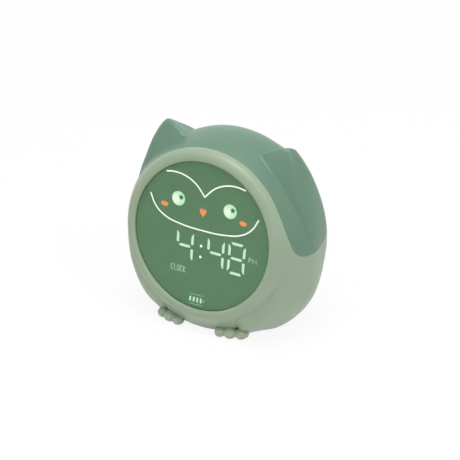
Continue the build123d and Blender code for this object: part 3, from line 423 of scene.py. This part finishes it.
numbered = [(k, *row) for k, row in enumerate(CASING_ROW)]
profile = []
for k, ((r0, y0), (r1, y1)) in enumerate(zip(CASING_ROW, CASING_ROW[1:])):
    spacing = FINE_ROW if y0 < FINE_ROWS_TO else COARSE_ROW
    parts = math.ceil(math.hypot(r1 - r0, y1 - y0) / spacing)
    profile += [eased(numbered, k + i / parts) for i in range(parts)]
profile.append(CASING_ROW[-1])
skin = bmesh.new()
row = [skin.verts.new((radius, depth, 0)) for radius, depth in profile]
for a, b in zip(row, row[1:]):
    skin.edges.new((a, b))
bmesh.ops.spin(
    skin, geom=skin.verts[:] + skin.edges[:], cent=(0, 0, 0), axis=(0, 1, 0), angle=math.tau,
    steps=CASING_STEPS, use_merge=True,
)
bmesh.ops.remove_doubles(skin, verts=skin.verts, dist=WELD)
bmesh.ops.recalc_face_normals(skin, faces=skin.faces)

unleaning = LEANING.inverted()
for vert in skin.verts:
    x, depth, z = vert.co
    z -= BODY_DROP * step_up(depth, *BODY_DROP_DEPTHS)
    base = math.hypot(x, z)
    angle = abs(math.degrees(math.atan2(x, z)))
    reach = base + wing_rise(angle, depth) + body_rise(angle, depth)
    if depth > SEAM_ROW[0][0]:
        reach += ear_rise(angle, depth, base)
    vert.co = (x * reach / base, depth, z * reach / base)
    placed = LEANING @ vert.co
    if placed.z < UNDERSIDE_Z:
        placed.z = UNDERSIDE_Z
        vert.co = unleaning @ placed

# The seam is cut with a row of short straight cuts; what they leave inside is the shade.
CUT_SLACK = 1e-5
numbered = [(k, *point) for k, point in enumerate(SEAM_ROW)]
seam_points = [Vector((0, SEAM_ROW[0][0], SEAM_TOP))]
for step in range((len(SEAM_ROW) - 1) * SEAM_CUTS + 1):
    seam_points.append(Vector((0, *eased(numbered, step / SEAM_CUTS))))
seam_points.append(Vector((0, SEAM_ROW[-1][0], SEAM_TOP)))
inside = set(skin.faces)
for a, b in zip(seam_points, seam_points[1:]):
    along = b - a
    outward = Vector((0, along.z, -along.y)).normalized()
    geom = list({v for f in inside for v in f.verts} | {e for f in inside for e in f.edges} | inside)
    cut = bmesh.ops.bisect_plane(skin, geom=geom, plane_co=a, plane_no=outward, dist=CUT_SLACK)
    faces = {g for g in cut["geom"] if isinstance(g, bmesh.types.BMFace)}
    inside = {f for f in faces if (f.calc_center_median() - a).dot(outward) < 0}
shade_skin = skin.copy()
skin.faces.ensure_lookup_table()
shade_skin.faces.ensure_lookup_table()
skin.faces.index_update()
kept = {f.index for f in inside}
bmesh.ops.delete(shade_skin, geom=[f for f in shade_skin.faces if f.index not in kept], context="FACES")
bmesh.ops.delete(skin, geom=list(inside), context="FACES")

# both mouldings' wall and the round of its edges, in metres
WALL_T = 0.0016
WALL_EDGE = 0.00035
WALL_CORNER = math.radians(75)


def walled(piece):
    """Gives a skin its wall, inwards, and rounds the wall's edges."""
    wall = piece.modifiers.new("wall", "SOLIDIFY")
    wall.thickness = WALL_T
    wall.offset = -1
    wall.use_even_offset = False
    rounding = piece.modifiers.new("rounded_edge", "BEVEL")
    rounding.width = WALL_EDGE
    rounding.segments = 3
    rounding.limit_method = "ANGLE"
    rounding.angle_limit = WALL_CORNER
    rounding.use_clamp_overlap = True


sage = moulded("sage_soft_touch", paint(152, 170, 145), 0.36, gloss_level=0.42)
teal = moulded("teal_shade", paint(99, 134, 113), 0.35, gloss_level=0.5, through=0.1)
housing = add_piece("housing_shell", mesh_of(skin, "housing_shell", LEANING), sage)
walled(housing)
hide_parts("front_housing")
shade = add_piece("shade_shell", mesh_of(shade_skin, "shade_shell", LEANING), teal)
walled(shade)
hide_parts("night_light_shade")

# ---------------------------------------------------------------- screen
# A clear tinted front sheet lies in the bezel, on a printed green film that glows through
# windows in a black mask: white lines, eyes, beak, digits and symbols. Lit windows stand for
# the light that comes through them.
SCREEN_R = 49.95
SCREEN_STEPS = 192
LENS_T = 0.4
LENS_EDGE = 0.15
FILM_GAP = 0.05
FILM_Y = 0.6
FILM_T = 0.3
# a corner of more than one radian is a rim, and one past SHARP stays sharp in the shading
RIM_ANGLE = 1.0
SHARP = math.radians(35)


def upright_disc(name, radius, front, back, edge=0.0):
    """A disc across the screen's axis, with rounded rims where an edge is given."""
    work = bmesh.new()
    bmesh.ops.create_cone(
        work, cap_ends=True, segments=SCREEN_STEPS, radius1=radius, radius2=radius, depth=back - front,
        matrix=Matrix.Translation((0, (front + back) / 2, 0)) @ Matrix.Rotation(math.pi / 2, 4, "X"),
    )
    if edge:
        rims = [e for e in work.edges if len(e.link_faces) == 2 and e.calc_face_angle(0) > RIM_ANGLE]
        bmesh.ops.bevel(
            work, geom=rims, offset=edge, segments=3, profile=0.5, affect="EDGES", material=-1,
        )
    return mesh_of(work, name, LEANING)


# the front sheet's gloss is a little uneven, as if wiped
SMEAR_SCALE = 60.0
SMEAR = 0.03


def veil_sheet(name, colour, opacity, roughness):
    """A clear tinted sheet, which shows what lies behind it under a faint gloss."""
    made, nodes, links = fresh_material(name)
    shader = nodes.new("ShaderNodeBsdfPrincipled")
    out = nodes.new("ShaderNodeOutputMaterial")
    place = nodes.new("ShaderNodeTexCoord")
    smear = nodes.new("ShaderNodeTexNoise")
    smear.inputs["Scale"].default_value = SMEAR_SCALE
    gloss = nodes.new("ShaderNodeMapRange")
    gloss.inputs["To Min"].default_value = roughness - SMEAR
    gloss.inputs["To Max"].default_value = roughness + SMEAR
    shader.inputs["Base Color"].default_value = colour
    shader.inputs["Alpha"].default_value = opacity
    links.new(place.outputs["Object"], smear.inputs["Vector"])
    links.new(smear.outputs["Fac"], gloss.inputs["Value"])
    links.new(gloss.outputs["Result"], shader.inputs["Roughness"])
    links.new(shader.outputs[0], out.inputs[0])
    return made


lens_tint = veil_sheet("lens_tint", paint(92, 128, 96), 0.12, 0.3)
lens_mesh = upright_disc("screen_front", SCREEN_R, 0.0, LENS_T, LENS_EDGE)
lens = add_piece("screen_front", lens_mesh, lens_tint)
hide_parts("screen_lens")
lens.data.set_sharp_from_angle(angle=SHARP)

film_green = moulded("film_green", paint(104, 149, 108), 0.6, grain=0.0, drift=0.04)
film_mesh = upright_disc("screen_film", SCREEN_R - FILM_GAP, FILM_Y, FILM_Y + FILM_T)
film = add_piece("screen_film", film_mesh, film_green, smooth=False)
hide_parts("diffuser_film")

# the film is dark of itself where a window lets light through
WINDOW_DARK = (0.02, 0.02, 0.02, 1)
WINDOW_ROUGHNESS = 0.6
MOTTLE_SCALE = 420.0
MOTTLE_SHARE = 0.93


def bright_film(name, strength):
    """A window's film, and the tint between its two colours of light, which the caller drives."""
    made, nodes, links = fresh_material(name)
    shader = nodes.new("ShaderNodeBsdfPrincipled")
    out = nodes.new("ShaderNodeOutputMaterial")
    tint = nodes.new("ShaderNodeMix")
    tint.data_type = "RGBA"
    shader.inputs["Base Color"].default_value = WINDOW_DARK
    shader.inputs["Roughness"].default_value = WINDOW_ROUGHNESS
    shader.inputs["Emission Strength"].default_value = strength
    links.new(tint.outputs["Result"], shader.inputs["Emission Color"])
    links.new(shader.outputs[0], out.inputs[0])
    return made, nodes, links, tint


def lit_window(name, colour, strength):
    """Light through a window of the film: even, with a very slight mottle."""
    made, nodes, links, tint = bright_film(name, strength)
    place = nodes.new("ShaderNodeTexCoord")
    mottle = nodes.new("ShaderNodeTexNoise")
    mottle.inputs["Scale"].default_value = MOTTLE_SCALE
    tint.inputs["A"].default_value = (*[c * MOTTLE_SHARE for c in colour[:3]], 1)
    tint.inputs["B"].default_value = colour
    links.new(place.outputs["Object"], mottle.inputs["Vector"])
    links.new(mottle.outputs["Fac"], tint.inputs["Factor"])
    return made


lit_line = lit_window("lit_line", paint(250, 255, 246), 1.35)
lit_digit = lit_window("lit_digit", paint(204, 248, 212), 1.15)
lit_small = lit_window("lit_small", paint(176, 222, 184), 1.0)
lit_letter = lit_window("lit_letter", paint(188, 232, 194), 1.05)
lit_orange = lit_window("lit_orange", paint(250, 150, 74), 1.1)

# the figures lie between the front sheet and the film
FIGURE_Y = 0.46
FIGURE_T = 0.12
FIGURE_BACK = FIGURE_Y + FIGURE_T


def flat_figure(name, outlines, material, front=FIGURE_Y):
    """Closed outlines in (x, z), each filled and given a slight thickness."""
    work = bmesh.new()
    for outline in outlines:
        corners = [work.verts.new((x, front + FIGURE_T, z)) for x, z in outline]
        face = work.faces.new(corners)
        lifted = bmesh.ops.extrude_face_region(work, geom=[face])
        moved = [g for g in lifted["geom"] if isinstance(g, bmesh.types.BMVert)]
        bmesh.ops.translate(work, vec=(0, -FIGURE_T, 0), verts=moved)
    bmesh.ops.recalc_face_normals(work, faces=work.faces)
    return add_piece(name, mesh_of(work, name, LEANING), material, smooth=False)


STROKE_STEPS = 10


def strokes(name, rows, width, smooth_line):
    """Round strokes of one width through rows of (x, z) points, as a working mesh."""
    curve = bpy.data.curves.new(name, "CURVE")
    curve.dimensions = "3D"
    curve.resolution_u = STROKE_STEPS
    curve.bevel_depth = width / 2
    curve.bevel_resolution = 3
    curve.use_fill_caps = True
    for row in rows:
        spline = curve.splines.new("BEZIER" if smooth_line else "POLY")
        if smooth_line:
            spline.bezier_points.add(len(row) - 1)
            for point, (x, z) in zip(spline.bezier_points, row):
                point.co = (x, 0, z)
                point.handle_left_type = point.handle_right_type = "AUTO"
        else:
            spline.points.add(len(row) - 1)
            for point, (x, z) in zip(spline.points, row):
                point.co = (x, 0, z, 1)
    drawn = bpy.data.objects.new(name, curve)
    bpy.context.scene.collection.objects.link(drawn)
    work = bmesh.new()
    work.from_mesh(evaluated(drawn))
    bpy.data.objects.remove(drawn)
    return work


def drawn_line(name, rows, width, material, smooth_line=True):
    """Lit strokes, pressed flat into the layer of the figures."""
    work = strokes(name, rows, width, smooth_line)
    for vert in work.verts:
        ahead = min(vert.co.y, 0.0) * FIGURE_T / (width / 2)
        vert.co.y = FIGURE_BACK + ahead
    return add_piece(name, mesh_of(work, name, LEANING), material)


def round_outline(x, z, across, up, count=40, turn=0.0):
    """Points round an oval that is turned about its middle."""
    points = []
    for i in range(count):
        a = across * math.cos(math.tau * i / count)
        b = up * math.sin(math.tau * i / count)
        turned = (x + a * math.cos(turn) - b * math.sin(turn), z + a * math.sin(turn) + b * math.cos(turn))
        points.append(turned)
    return points


# the right half of the brow and of the chin, as (x, z)
BROW_ROW = ((0.0, 26.6), (2.5, 29.5), (7.3, 34.0), (14.8, 37.6), (22.8, 38.7), (29.5, 37.8))
CHIN_ROW = ((0.0, 3.9), (17.2, 4.8), (28.6, 7.6), (35.9, 12.9), (40.4, 20.7))
LINE_W = 0.95
drawn_line("brow_line", [BROW_ROW, [(-x, z) for x, z in BROW_ROW]], LINE_W, lit_line)
chin_row = [(-x, z) for x, z in reversed(CHIN_ROW[1:])] + list(CHIN_ROW)
drawn_line("chin_line", [chin_row], LINE_W, lit_line)

EYE_AT = (19.25, 21.4)
EYE_R = 4.8
EYE_SPARK = (-1.7, -0.7)
# how far from its lamp, in metres, an eye's light stays white and where it is green
EYE_FADE = (0.0008, 0.0046)
EYE_STRENGTH = 1.15
# a pupil is a star of five points: where it lies in its eye, and its outer and inner radius
PUPIL_AT = (2.0, 1.1)
PUPIL_R = (2.2, 1.05)
PUPIL_AHEAD = 0.03
CHEEK_AT = (29.4, 15.6)
CHEEK_R = (2.75, 1.6)
CHEEK_TURN = -0.1
BEAK_AT = (-0.4, 16.2)
BEAK_GROW = (0.155, 0.205)
BEAK_POINTS = 48


def lit_eye(name, spark):
    """Light through an eye's window, whitest over the lamp behind it."""
    made, nodes, links, tint = bright_film(name, EYE_STRENGTH)
    place = nodes.new("ShaderNodeTexCoord")
    away = nodes.new("ShaderNodeVectorMath")
    away.operation = "DISTANCE"
    away.inputs[1].default_value = LEANING @ Vector((spark[0], FIGURE_Y, spark[1]))
    fade = nodes.new("ShaderNodeMapRange")
    fade.interpolation_type = "SMOOTHSTEP"
    fade.inputs["From Min"].default_value, fade.inputs["From Max"].default_value = EYE_FADE
    tint.inputs["A"].default_value = paint(246, 255, 240)
    tint.inputs["B"].default_value = paint(192, 244, 197)
    links.new(place.outputs["Object"], away.inputs[0])
    links.new(away.outputs["Value"], fade.inputs["Value"])
    links.new(fade.outputs["Result"], tint.inputs["Factor"])
    return made


pupil_green = moulded("pupil_green", paint(70, 104, 76), 0.6, grain=0.0, drift=0.03)
for side, name in ((-1, "left"), (1, "right")):
    x, z = side * EYE_AT[0], EYE_AT[1]
    eye_light = lit_eye("lit_eye_" + name, (x + EYE_SPARK[0], z + EYE_SPARK[1]))
    flat_figure(name + "_eye", [round_outline(x, z, EYE_R, EYE_R)], eye_light)
    star = []
    for i in range(10):
        radius, turn = PUPIL_R[i % 2], math.pi * i / 5
        star.append((x + PUPIL_AT[0] + radius * math.sin(turn), z + PUPIL_AT[1] + radius * math.cos(turn)))
    flat_figure(name + "_pupil", [star], pupil_green, front=FIGURE_Y - PUPIL_AHEAD)
    cheek = round_outline(side * CHEEK_AT[0], CHEEK_AT[1], *CHEEK_R, turn=CHEEK_TURN)
    flat_figure(name + "_cheek", [cheek], lit_orange)

# the usual heart curve, stretched to the beak's size
heart = []
for i in range(BEAK_POINTS):
    turn = math.tau * i / BEAK_POINTS
    across = 16 * math.sin(turn) ** 3
    lobes = 13 * math.cos(turn) - 5 * math.cos(2 * turn) - 2 * math.cos(3 * turn) - math.cos(4 * turn)
    heart.append((BEAK_AT[0] + BEAK_GROW[0] * across, BEAK_AT[1] + BEAK_GROW[1] * lobes))
flat_figure("heart_beak", [heart], lit_orange)

BAR_T = 1.75
DIGIT_W = 10.9
DIGIT_H = 20.0
DIGIT_Z = -9.2
# half length of an upright bar, a bar across and the middle bar
BAR_HALF = (3.4, 4.3, 4.5)
# An upright bar reaches this far past its half length. Its slanting end starts this far short
# of it, and leaves a flat tip from this share of its half width.
BAR_REACH = 0.5
BAR_SLANT = 1.6
BAR_TIP = 0.4
# the middle bar's points, as a share of its half width
BAR_POINT = 1.4
# (name, x of its middle, lit bars)
DIGITS = (("first", -12.1, "bcfg"), ("second", 11.0, "bcfg"), ("third", 26.5, "abcdefg"))
COLON_R = 0.9
COLON_Z = (-6.7, -14.2)


def digit_outlines(x, z, lit):
    """The lit bars of one digit; lit names them a to g, clockwise from the top, g in the middle."""
    across, rise, nib = DIGIT_W / 2, DIGIT_H / 2, BAR_T / 2
    tall, wide, middle = BAR_HALF
    # an upright bar is cut square at the middle and pointed at the digit's corner
    top = tall + BAR_REACH
    upright = ((-nib, -tall), (nib, -tall), (nib, top), (nib * BAR_TIP, top), (-nib, tall - BAR_SLANT))
    level = ((-wide, nib), (wide, nib), (wide - nib, -nib), (nib - wide, -nib))
    inner = middle - BAR_POINT * nib
    pointed = ((-middle, 0), (-inner, -nib), (inner, -nib), (middle, 0), (inner, nib), (-inner, nib))
    bars = {
        "a": [(a, rise + b) for a, b in level],
        "b": [(across + a, rise / 2 + b) for a, b in upright],
        "c": [(across + a, -rise / 2 - b) for a, b in upright],
        "d": [(a, -rise - b) for a, b in level],
        "e": [(-across - a, -rise / 2 - b) for a, b in upright],
        "f": [(-across - a, rise / 2 + b) for a, b in upright],
        "g": list(pointed),
    }
    return [[(x + a, z + b) for a, b in bars[k]] for k in lit]


for name, x, lit in DIGITS:
    flat_figure(name + "_digit", digit_outlines(x, DIGIT_Z, lit), lit_digit)
flat_figure("colon", [round_outline(0, z, COLON_R, COLON_R, 24) for z in COLON_Z], lit_line)

# (name, word, left and foot, width and height of a letter, gap, width of a stroke)
WORDS = (
    ("pm_letters", "PM", (35.5, -9.2), (1.6, 3.2), 1.2, 0.42),
    ("clock_letters", "CLOCK", (-21.1, -27.5), (1.35, 3.9), 0.95, 0.4),
)
# each letter's width as a share of the usual one, and its strokes in a unit square
LETTERS = {
    "P": (1.0, [[(0, 0), (0, 1), (0.7, 1), (1, 0.86), (1, 0.62), (0.7, 0.48), (0, 0.48)]]),
    "M": (1.7, [[(0, 0), (0, 1), (0.5, 0.35), (1, 1), (1, 0)]]),
    "C": (1.0, [[(1, 0.84), (0.75, 1), (0.25, 1), (0, 0.84), (0, 0.16), (0.25, 0), (0.75, 0), (1, 0.16)]]),
    "L": (0.9, [[(0, 1), (0, 0), (1, 0)]]),
    "O": (1.1, [
        [(0.25, 0), (0, 0.16), (0, 0.84), (0.25, 1), (0.75, 1), (1, 0.84), (1, 0.16), (0.75, 0), (0.25, 0)],
    ]),
    "K": (1.0, [[(0, 0), (0, 1)], [(1, 1), (0.05, 0.5), (1, 0)]]),
}
for name, word, (x, z), (wide, high), gap, width in WORDS:
    rows = []
    for letter in word:
        share, lines = LETTERS[letter]
        rows += [[(x + a * wide * share, z + b * high) for a, b in line] for line in lines]
        x += wide * share + gap
    drawn_line(name, rows, width, lit_letter, smooth_line=False)

# the battery symbol: four bars between two thin rules, and a tip
ICON_Z = -44.1
ICON_BARS_X = (-5.2, -2.5, 0.2, 2.8)
ICON_BAR_HALF = (0.6, 1.6)
ICON_RULES_X = (-5.5, 4.5)
ICON_RULES_Z = (3.4, -3.3)
ICON_RULE_W = 0.3
ICON_TIP_AT = (5.0, 0.1)
ICON_TIP_R = (0.45, 0.8)
half, high = ICON_BAR_HALF
bar_corners = ((-half, -high), (half, -high), (half, high), (-half, high))
icon_bars = [[(x + a, ICON_Z + b) for a, b in bar_corners] for x in ICON_BARS_X]
flat_figure("battery_bars", icon_bars, lit_digit)
icon_rules = [[(x, ICON_Z + z) for x in ICON_RULES_X] for z in ICON_RULES_Z]
drawn_line("battery_lines", icon_rules, ICON_RULE_W, lit_small, smooth_line=False)
icon_tip = round_outline(ICON_TIP_AT[0], ICON_Z + ICON_TIP_AT[1], *ICON_TIP_R, 16)
flat_figure("battery_tip", [icon_tip], lit_small)

# ---------------------------------------------------------------- feet
# Each foot is one glossy sage moulding of three round toes with a tapering sole behind,
# plugged and screwed into the flat underside.
FOOT_AT = (22.6, -1.8)
FOOT_TURN = math.radians(17.0)
# (across, ahead, radius, length) of the toes, from the inner one out
TOES = ((-6.9, 0.4, 3.3, 4.2), (0.0, -0.3, 3.9, 4.8), (7.2, 0.2, 3.7, 4.5))
TOE_SPREAD = 1.15
TOE_STEPS = (40, 24)
SOLE_HALF = (9.9, 11.5, 2.9)
SOLE_AT = (2.0, 11.0, 3.2)
SOLE_EDGE = 2.0
# toes and sole are remeshed on this grid and smoothed this many times
SKIN_GRID = 0.35
SKIN_SMOOTHING = 12
# from millimetres on the table, under the middle of the screen, into the clock's place
UPRIGHT = Matrix.Translation((0, FACE_MIDDLE.y, 0)) @ Matrix.Scale(MM, 4)
foot_gloss = moulded("foot_gloss", paint(160, 175, 149), 0.14, grain=0.05, gloss_level=0.6)


def foot_mesh(side, name):
    """Toes and sole as one skin, smoothed where they meet."""
    work = bmesh.new()
    turned = Matrix.Translation((side * FOOT_AT[0], FOOT_AT[1], 0))
    turned = turned @ Matrix.Rotation(side * FOOT_TURN, 4, "Z")
    around, along = TOE_STEPS
    for across, ahead, radius, length in TOES:
        placed = turned @ Matrix.Translation((side * across, ahead, radius))
        placed = placed @ Matrix.Diagonal((TOE_SPREAD * radius, length, radius, 1))
        bmesh.ops.create_uvsphere(work, u_segments=around, v_segments=along, radius=1, matrix=placed)
    across, behind, up = SOLE_AT
    placed = turned @ Matrix.Translation((side * across, behind, up))
    placed = placed @ Matrix.Diagonal((*(2 * h for h in SOLE_HALF), 1))
    block = bmesh.ops.create_cube(work, size=1, matrix=placed)
    rims = list({e for v in block["verts"] for e in v.link_edges})
    bmesh.ops.bevel(work, geom=rims, offset=SOLE_EDGE, segments=5, profile=0.5, affect="EDGES", material=-1)
    blank = bpy.data.objects.new(name, bpy.data.meshes.new(name))
    work.to_mesh(blank.data)
    work.free()
    bpy.context.scene.collection.objects.link(blank)
    grid = blank.modifiers.new("one_skin", "REMESH")
    grid.mode = "VOXEL"
    grid.voxel_size = SKIN_GRID
    soft = blank.modifiers.new("soft", "SMOOTH")
    soft.iterations = SKIN_SMOOTHING
    joined = bmesh.new()
    joined.from_mesh(evaluated(blank))
    bpy.data.objects.remove(blank)
    lowest = min(v.co.z for v in joined.verts)
    bmesh.ops.translate(joined, vec=(0, 0, -lowest), verts=joined.verts)
    return mesh_of(joined, name, UPRIGHT)


for side, name in ((1, "left_foot"), (-1, "right_foot")):
    foot_piece = add_piece(name + "_moulding", foot_mesh(side, name + "_moulding"), foot_gloss)
    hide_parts(name)

# ---------------------------------------------------------------- back
# The rear cover is a sage moulding like the housing, screwed on at four places and standing
# on two rubber pads. Six soft buttons, a slide switch and a USB-C socket come through it.
# Each button carries a raised mark.


def dress(material, *names):
    """Gives CAD nodes, which keep their shapes, their material."""
    for name in names:
        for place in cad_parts[name].material_slots:
            place.material = material


# the fine marks of plating and how unevenly it shines
BRUSH_SCALE = 900.0
BRUSH_DETAIL = 5.0
BRUSH_GLOSS = 0.07
BRUSH_STRENGTH = 0.15
BRUSH_DEPTH = 0.00005


def plated(name, colour, roughness, brush=(1.0, 1.0, 1.0)):
    """Plated sheet or wire: metal with fine marks, drawn out along one way."""
    made, nodes, links = fresh_material(name)
    shader = nodes.new("ShaderNodeBsdfPrincipled")
    out = nodes.new("ShaderNodeOutputMaterial")
    place = nodes.new("ShaderNodeTexCoord")
    drawn = nodes.new("ShaderNodeMapping")
    drawn.inputs["Scale"].default_value = brush
    marks = nodes.new("ShaderNodeTexNoise")
    marks.inputs["Scale"].default_value = BRUSH_SCALE
    marks.inputs["Detail"].default_value = BRUSH_DETAIL
    gloss = nodes.new("ShaderNodeMapRange")
    gloss.inputs["To Min"].default_value = roughness - BRUSH_GLOSS
    gloss.inputs["To Max"].default_value = roughness + BRUSH_GLOSS
    bump = nodes.new("ShaderNodeBump")
    bump.inputs["Strength"].default_value = BRUSH_STRENGTH
    bump.inputs["Distance"].default_value = BRUSH_DEPTH
    shader.inputs["Base Color"].default_value = colour
    shader.inputs["Metallic"].default_value = 1.0
    links.new(place.outputs["Object"], drawn.inputs["Vector"])
    links.new(drawn.outputs["Vector"], marks.inputs["Vector"])
    links.new(marks.outputs["Fac"], gloss.inputs["Value"])
    links.new(marks.outputs["Fac"], bump.inputs["Height"])
    links.new(gloss.outputs["Result"], shader.inputs["Roughness"])
    links.new(bump.outputs["Normal"], shader.inputs["Normal"])
    links.new(shader.outputs[0], out.inputs[0])
    return made


zinc = plated("zinc_plate", paint(214, 214, 218), 0.32)
black_moulding = moulded("black_moulding", paint(32, 33, 34), 0.42)
button_rubber = moulded("button_rubber", paint(146, 165, 140), 0.62, grain=0.4, gloss_level=0.3)
mark_rubber = moulded("mark_rubber", paint(228, 232, 224), 0.6, grain=0.3, gloss_level=0.3)
pad_rubber = moulded("pad_rubber", paint(58, 62, 58), 0.75, grain=0.6)
slide_green = moulded("slide_green", paint(74, 92, 78), 0.5, grain=0.5)
dress(sage, "rear_cover")
dress(zinc, "screws", "short_screws", "usb_socket")
dress(pad_rubber, "rear_pads")
dress(slide_green, "slide_knob")
dress(black_moulding, "slide_case", "tact_switches")

BUTTON_TOP = 78.3
BUTTON_ROWS = ((24.0, ("alarm", "light", "sound")), (9.5, ("down", "set", "up")))
BUTTON_COLUMNS = (-18.0, 0.0, 18.0)
# a mark's stroke, and how far its middle lies under the button's top
MARK_W = 0.5
MARK_SUNK = 0.1


def raised_mark(name, rows, x, z, body):
    """A mark on a button's top, the right way round for someone behind the clock."""
    work = strokes(name, rows, MARK_W, smooth_line=False)
    behind = Matrix.Translation((x, BUTTON_TOP - MARK_SUNK, z)) @ Matrix.Rotation(math.pi, 4, "Z")
    return add_piece(name, mesh_of(work, name, LEANING @ behind), mark_rubber, body=body)


def arc(across, up, radius, start, end, count=24):
    """Points round part of a circle, from start to end degrees."""
    turns = [math.radians(start + (end - start) * i / count) for i in range(count + 1)]
    return [(across + radius * math.cos(t), up + radius * math.sin(t)) for t in turns]


RAYS = 8
RAY_REACH = (1.8, 2.5)
ray_turns = [math.tau * i / RAYS for i in range(RAYS)]
lamp_rays = [[(reach * math.cos(t), reach * math.sin(t)) for reach in RAY_REACH] for t in ray_turns]
# a bell, a lamp with rays, a note, a minus, a clock face and a plus
MARKS = {
    "alarm": [
        [(-2.1, -1.2), *arc(0, 0.5, 1.5, 180, 0), (2.1, -1.2), (-2.1, -1.2)], arc(0, -1.5, 0.5, 200, 340, 8),
        [(0, 2.0), (0, 2.5)],
    ],
    "light": [arc(0, 0, 1.1, 0, 360), *lamp_rays],
    "sound": [
        arc(-1.3, -1.7, 0.55, 0, 360), arc(1.1, -1.3, 0.55, 0, 360),
        [(-0.75, -1.7), (-0.75, 1.6), (1.65, 2.1), (1.65, -1.3)],
    ],
    "down": [[(-1.9, 0), (1.9, 0)]],
    "set": [arc(0, 0, 2.1, 0, 360), [(0, 1.2), (0, 0), (0.9, -0.6)]],
    "up": [[(-1.9, 0), (1.9, 0)], [(0, -1.9), (0, 1.9)]],
}
for z, names in BUTTON_ROWS:
    for x, name in zip(BUTTON_COLUMNS, names):
        dress(button_rubber, "button_" + name)
        dress(black_moulding, "plunger_" + name)
        raised_mark(name + "_mark", MARKS[name], x, z, "button_" + name)

# ---------------------------------------------------------------- boards
# Behind the screen lie its foam tape, the black mask film, the white light wells and the
# display board with its LEDs. The main board is screwed to the rear cover and carries the
# clock chip, the plugs, the switches and the socket.

# the copper tracks' width, length and spacing in metres, and how far they lift the mask
TRACK_W = 0.00018
TRACK_LENGTH = 0.0075
TRACK_GAP = 0.0021
TRACK_LIFT = 0.00004
TRACK_STRENGTH = 0.3
MASK_SHADE = 0.85
MASK_ROUGHNESS = 0.28


def circuit_board(name, mask, track):
    """Solder mask over copper tracks, which show as slightly lighter lines."""
    made, nodes, links = fresh_material(name)
    shader = nodes.new("ShaderNodeBsdfPrincipled")
    out = nodes.new("ShaderNodeOutputMaterial")
    place = nodes.new("ShaderNodeTexCoord")
    flat = nodes.new("ShaderNodeMapping")
    flat.inputs["Rotation"].default_value = (math.pi / 2 + LEAN, 0, 0)
    tracks = nodes.new("ShaderNodeTexBrick")
    tracks.inputs["Color1"].default_value = mask
    tracks.inputs["Color2"].default_value = (*[c * MASK_SHADE for c in mask[:3]], 1)
    tracks.inputs["Mortar"].default_value = track
    tracks.inputs["Scale"].default_value = 1.0
    tracks.inputs["Mortar Size"].default_value = TRACK_W
    tracks.inputs["Brick Width"].default_value = TRACK_LENGTH
    tracks.inputs["Row Height"].default_value = TRACK_GAP
    lift = nodes.new("ShaderNodeBump")
    lift.inputs["Strength"].default_value = TRACK_STRENGTH
    lift.inputs["Distance"].default_value = TRACK_LIFT
    shader.inputs["Roughness"].default_value = MASK_ROUGHNESS
    links.new(place.outputs["Object"], flat.inputs["Vector"])
    links.new(flat.outputs["Vector"], tracks.inputs["Vector"])
    links.new(tracks.outputs["Color"], shader.inputs["Base Color"])
    links.new(tracks.outputs["Fac"], lift.inputs["Height"])
    links.new(lift.outputs["Normal"], shader.inputs["Normal"])
    links.new(shader.outputs[0], out.inputs[0])
    return made


green_board = circuit_board("green_board", paint(20, 92, 48), paint(60, 138, 84))
white_moulding = moulded("white_moulding", paint(234, 234, 229), 0.4)
black_film = moulded("black_film", paint(22, 22, 22), 0.35, grain=0.05)
black_tape = moulded("black_tape", paint(38, 38, 38), 0.8, grain=0.8)
led_resin = moulded("led_resin", paint(240, 226, 150), 0.25, grain=0.05)
cream_nylon = moulded("cream_nylon", paint(232, 226, 206), 0.4)
dress(black_tape, "lens_tape")
dress(black_film, "mask_film")
dress(white_moulding, "light_shield")
dress(green_board, "display_board", "main_board")
dress(led_resin, "display_leds", "lamp_leds")
dress(cream_nylon, "display_plug", "board_plugs")
dress(black_moulding, "clock_chip")

# ---------------------------------------------------------------- night light
# A white arch under the shade throws the lamps' light outwards. The lamps sit on a white
# flexible strip stuck round it.
strip_white = moulded("strip_white", paint(238, 238, 232), 0.3, grain=0.1)
dress(white_moulding, "lamp_reflector")
dress(strip_white, "lamp_strip")

# ---------------------------------------------------------------- speaker
# A small round speaker is pressed against the grille on a foam ring: a black paper cone in a
# black frame, with a plated magnet behind it.
foam_ring = moulded("foam_ring", paint(34, 34, 34), 0.9, grain=1.0)
cone_paper = moulded("cone_paper", paint(36, 35, 33), 0.85, grain=0.9, drift=0.15)
magnet_plate = plated("magnet_plate", paint(170, 170, 174), 0.38)
dress(foam_ring, "speaker_gasket")
dress(cone_paper, "speaker_cone")
dress(black_moulding, "speaker_frame")
dress(magnet_plate, "speaker_magnet")

# ---------------------------------------------------------------- battery
# One rechargeable cell in a blue shrink sleeve, with welded nickel tabs, lies in a black
# cradle screwed to the floor of the housing.
cell_sleeve = moulded("cell_sleeve", paint(46, 112, 168), 0.3, grain=0.35, drift=0.08)
nickel = plated("nickel_strip", paint(204, 200, 188), 0.3, brush=(1.0, 8.0, 1.0))
dress(cell_sleeve, "battery_cell")
dress(nickel, "battery_tabs")
dress(black_moulding, "battery_cradle")

# ---------------------------------------------------------------- leads
# Insulated copper leads join the boards, the lamps, the speaker and the cell to the plugs.
lead_cover = moulded("lead_cover", paint(178, 44, 38), 0.45, grain=0.15)
dress(lead_cover, "display_lead", "lamp_lead", "speaker_lead", "battery_lead")
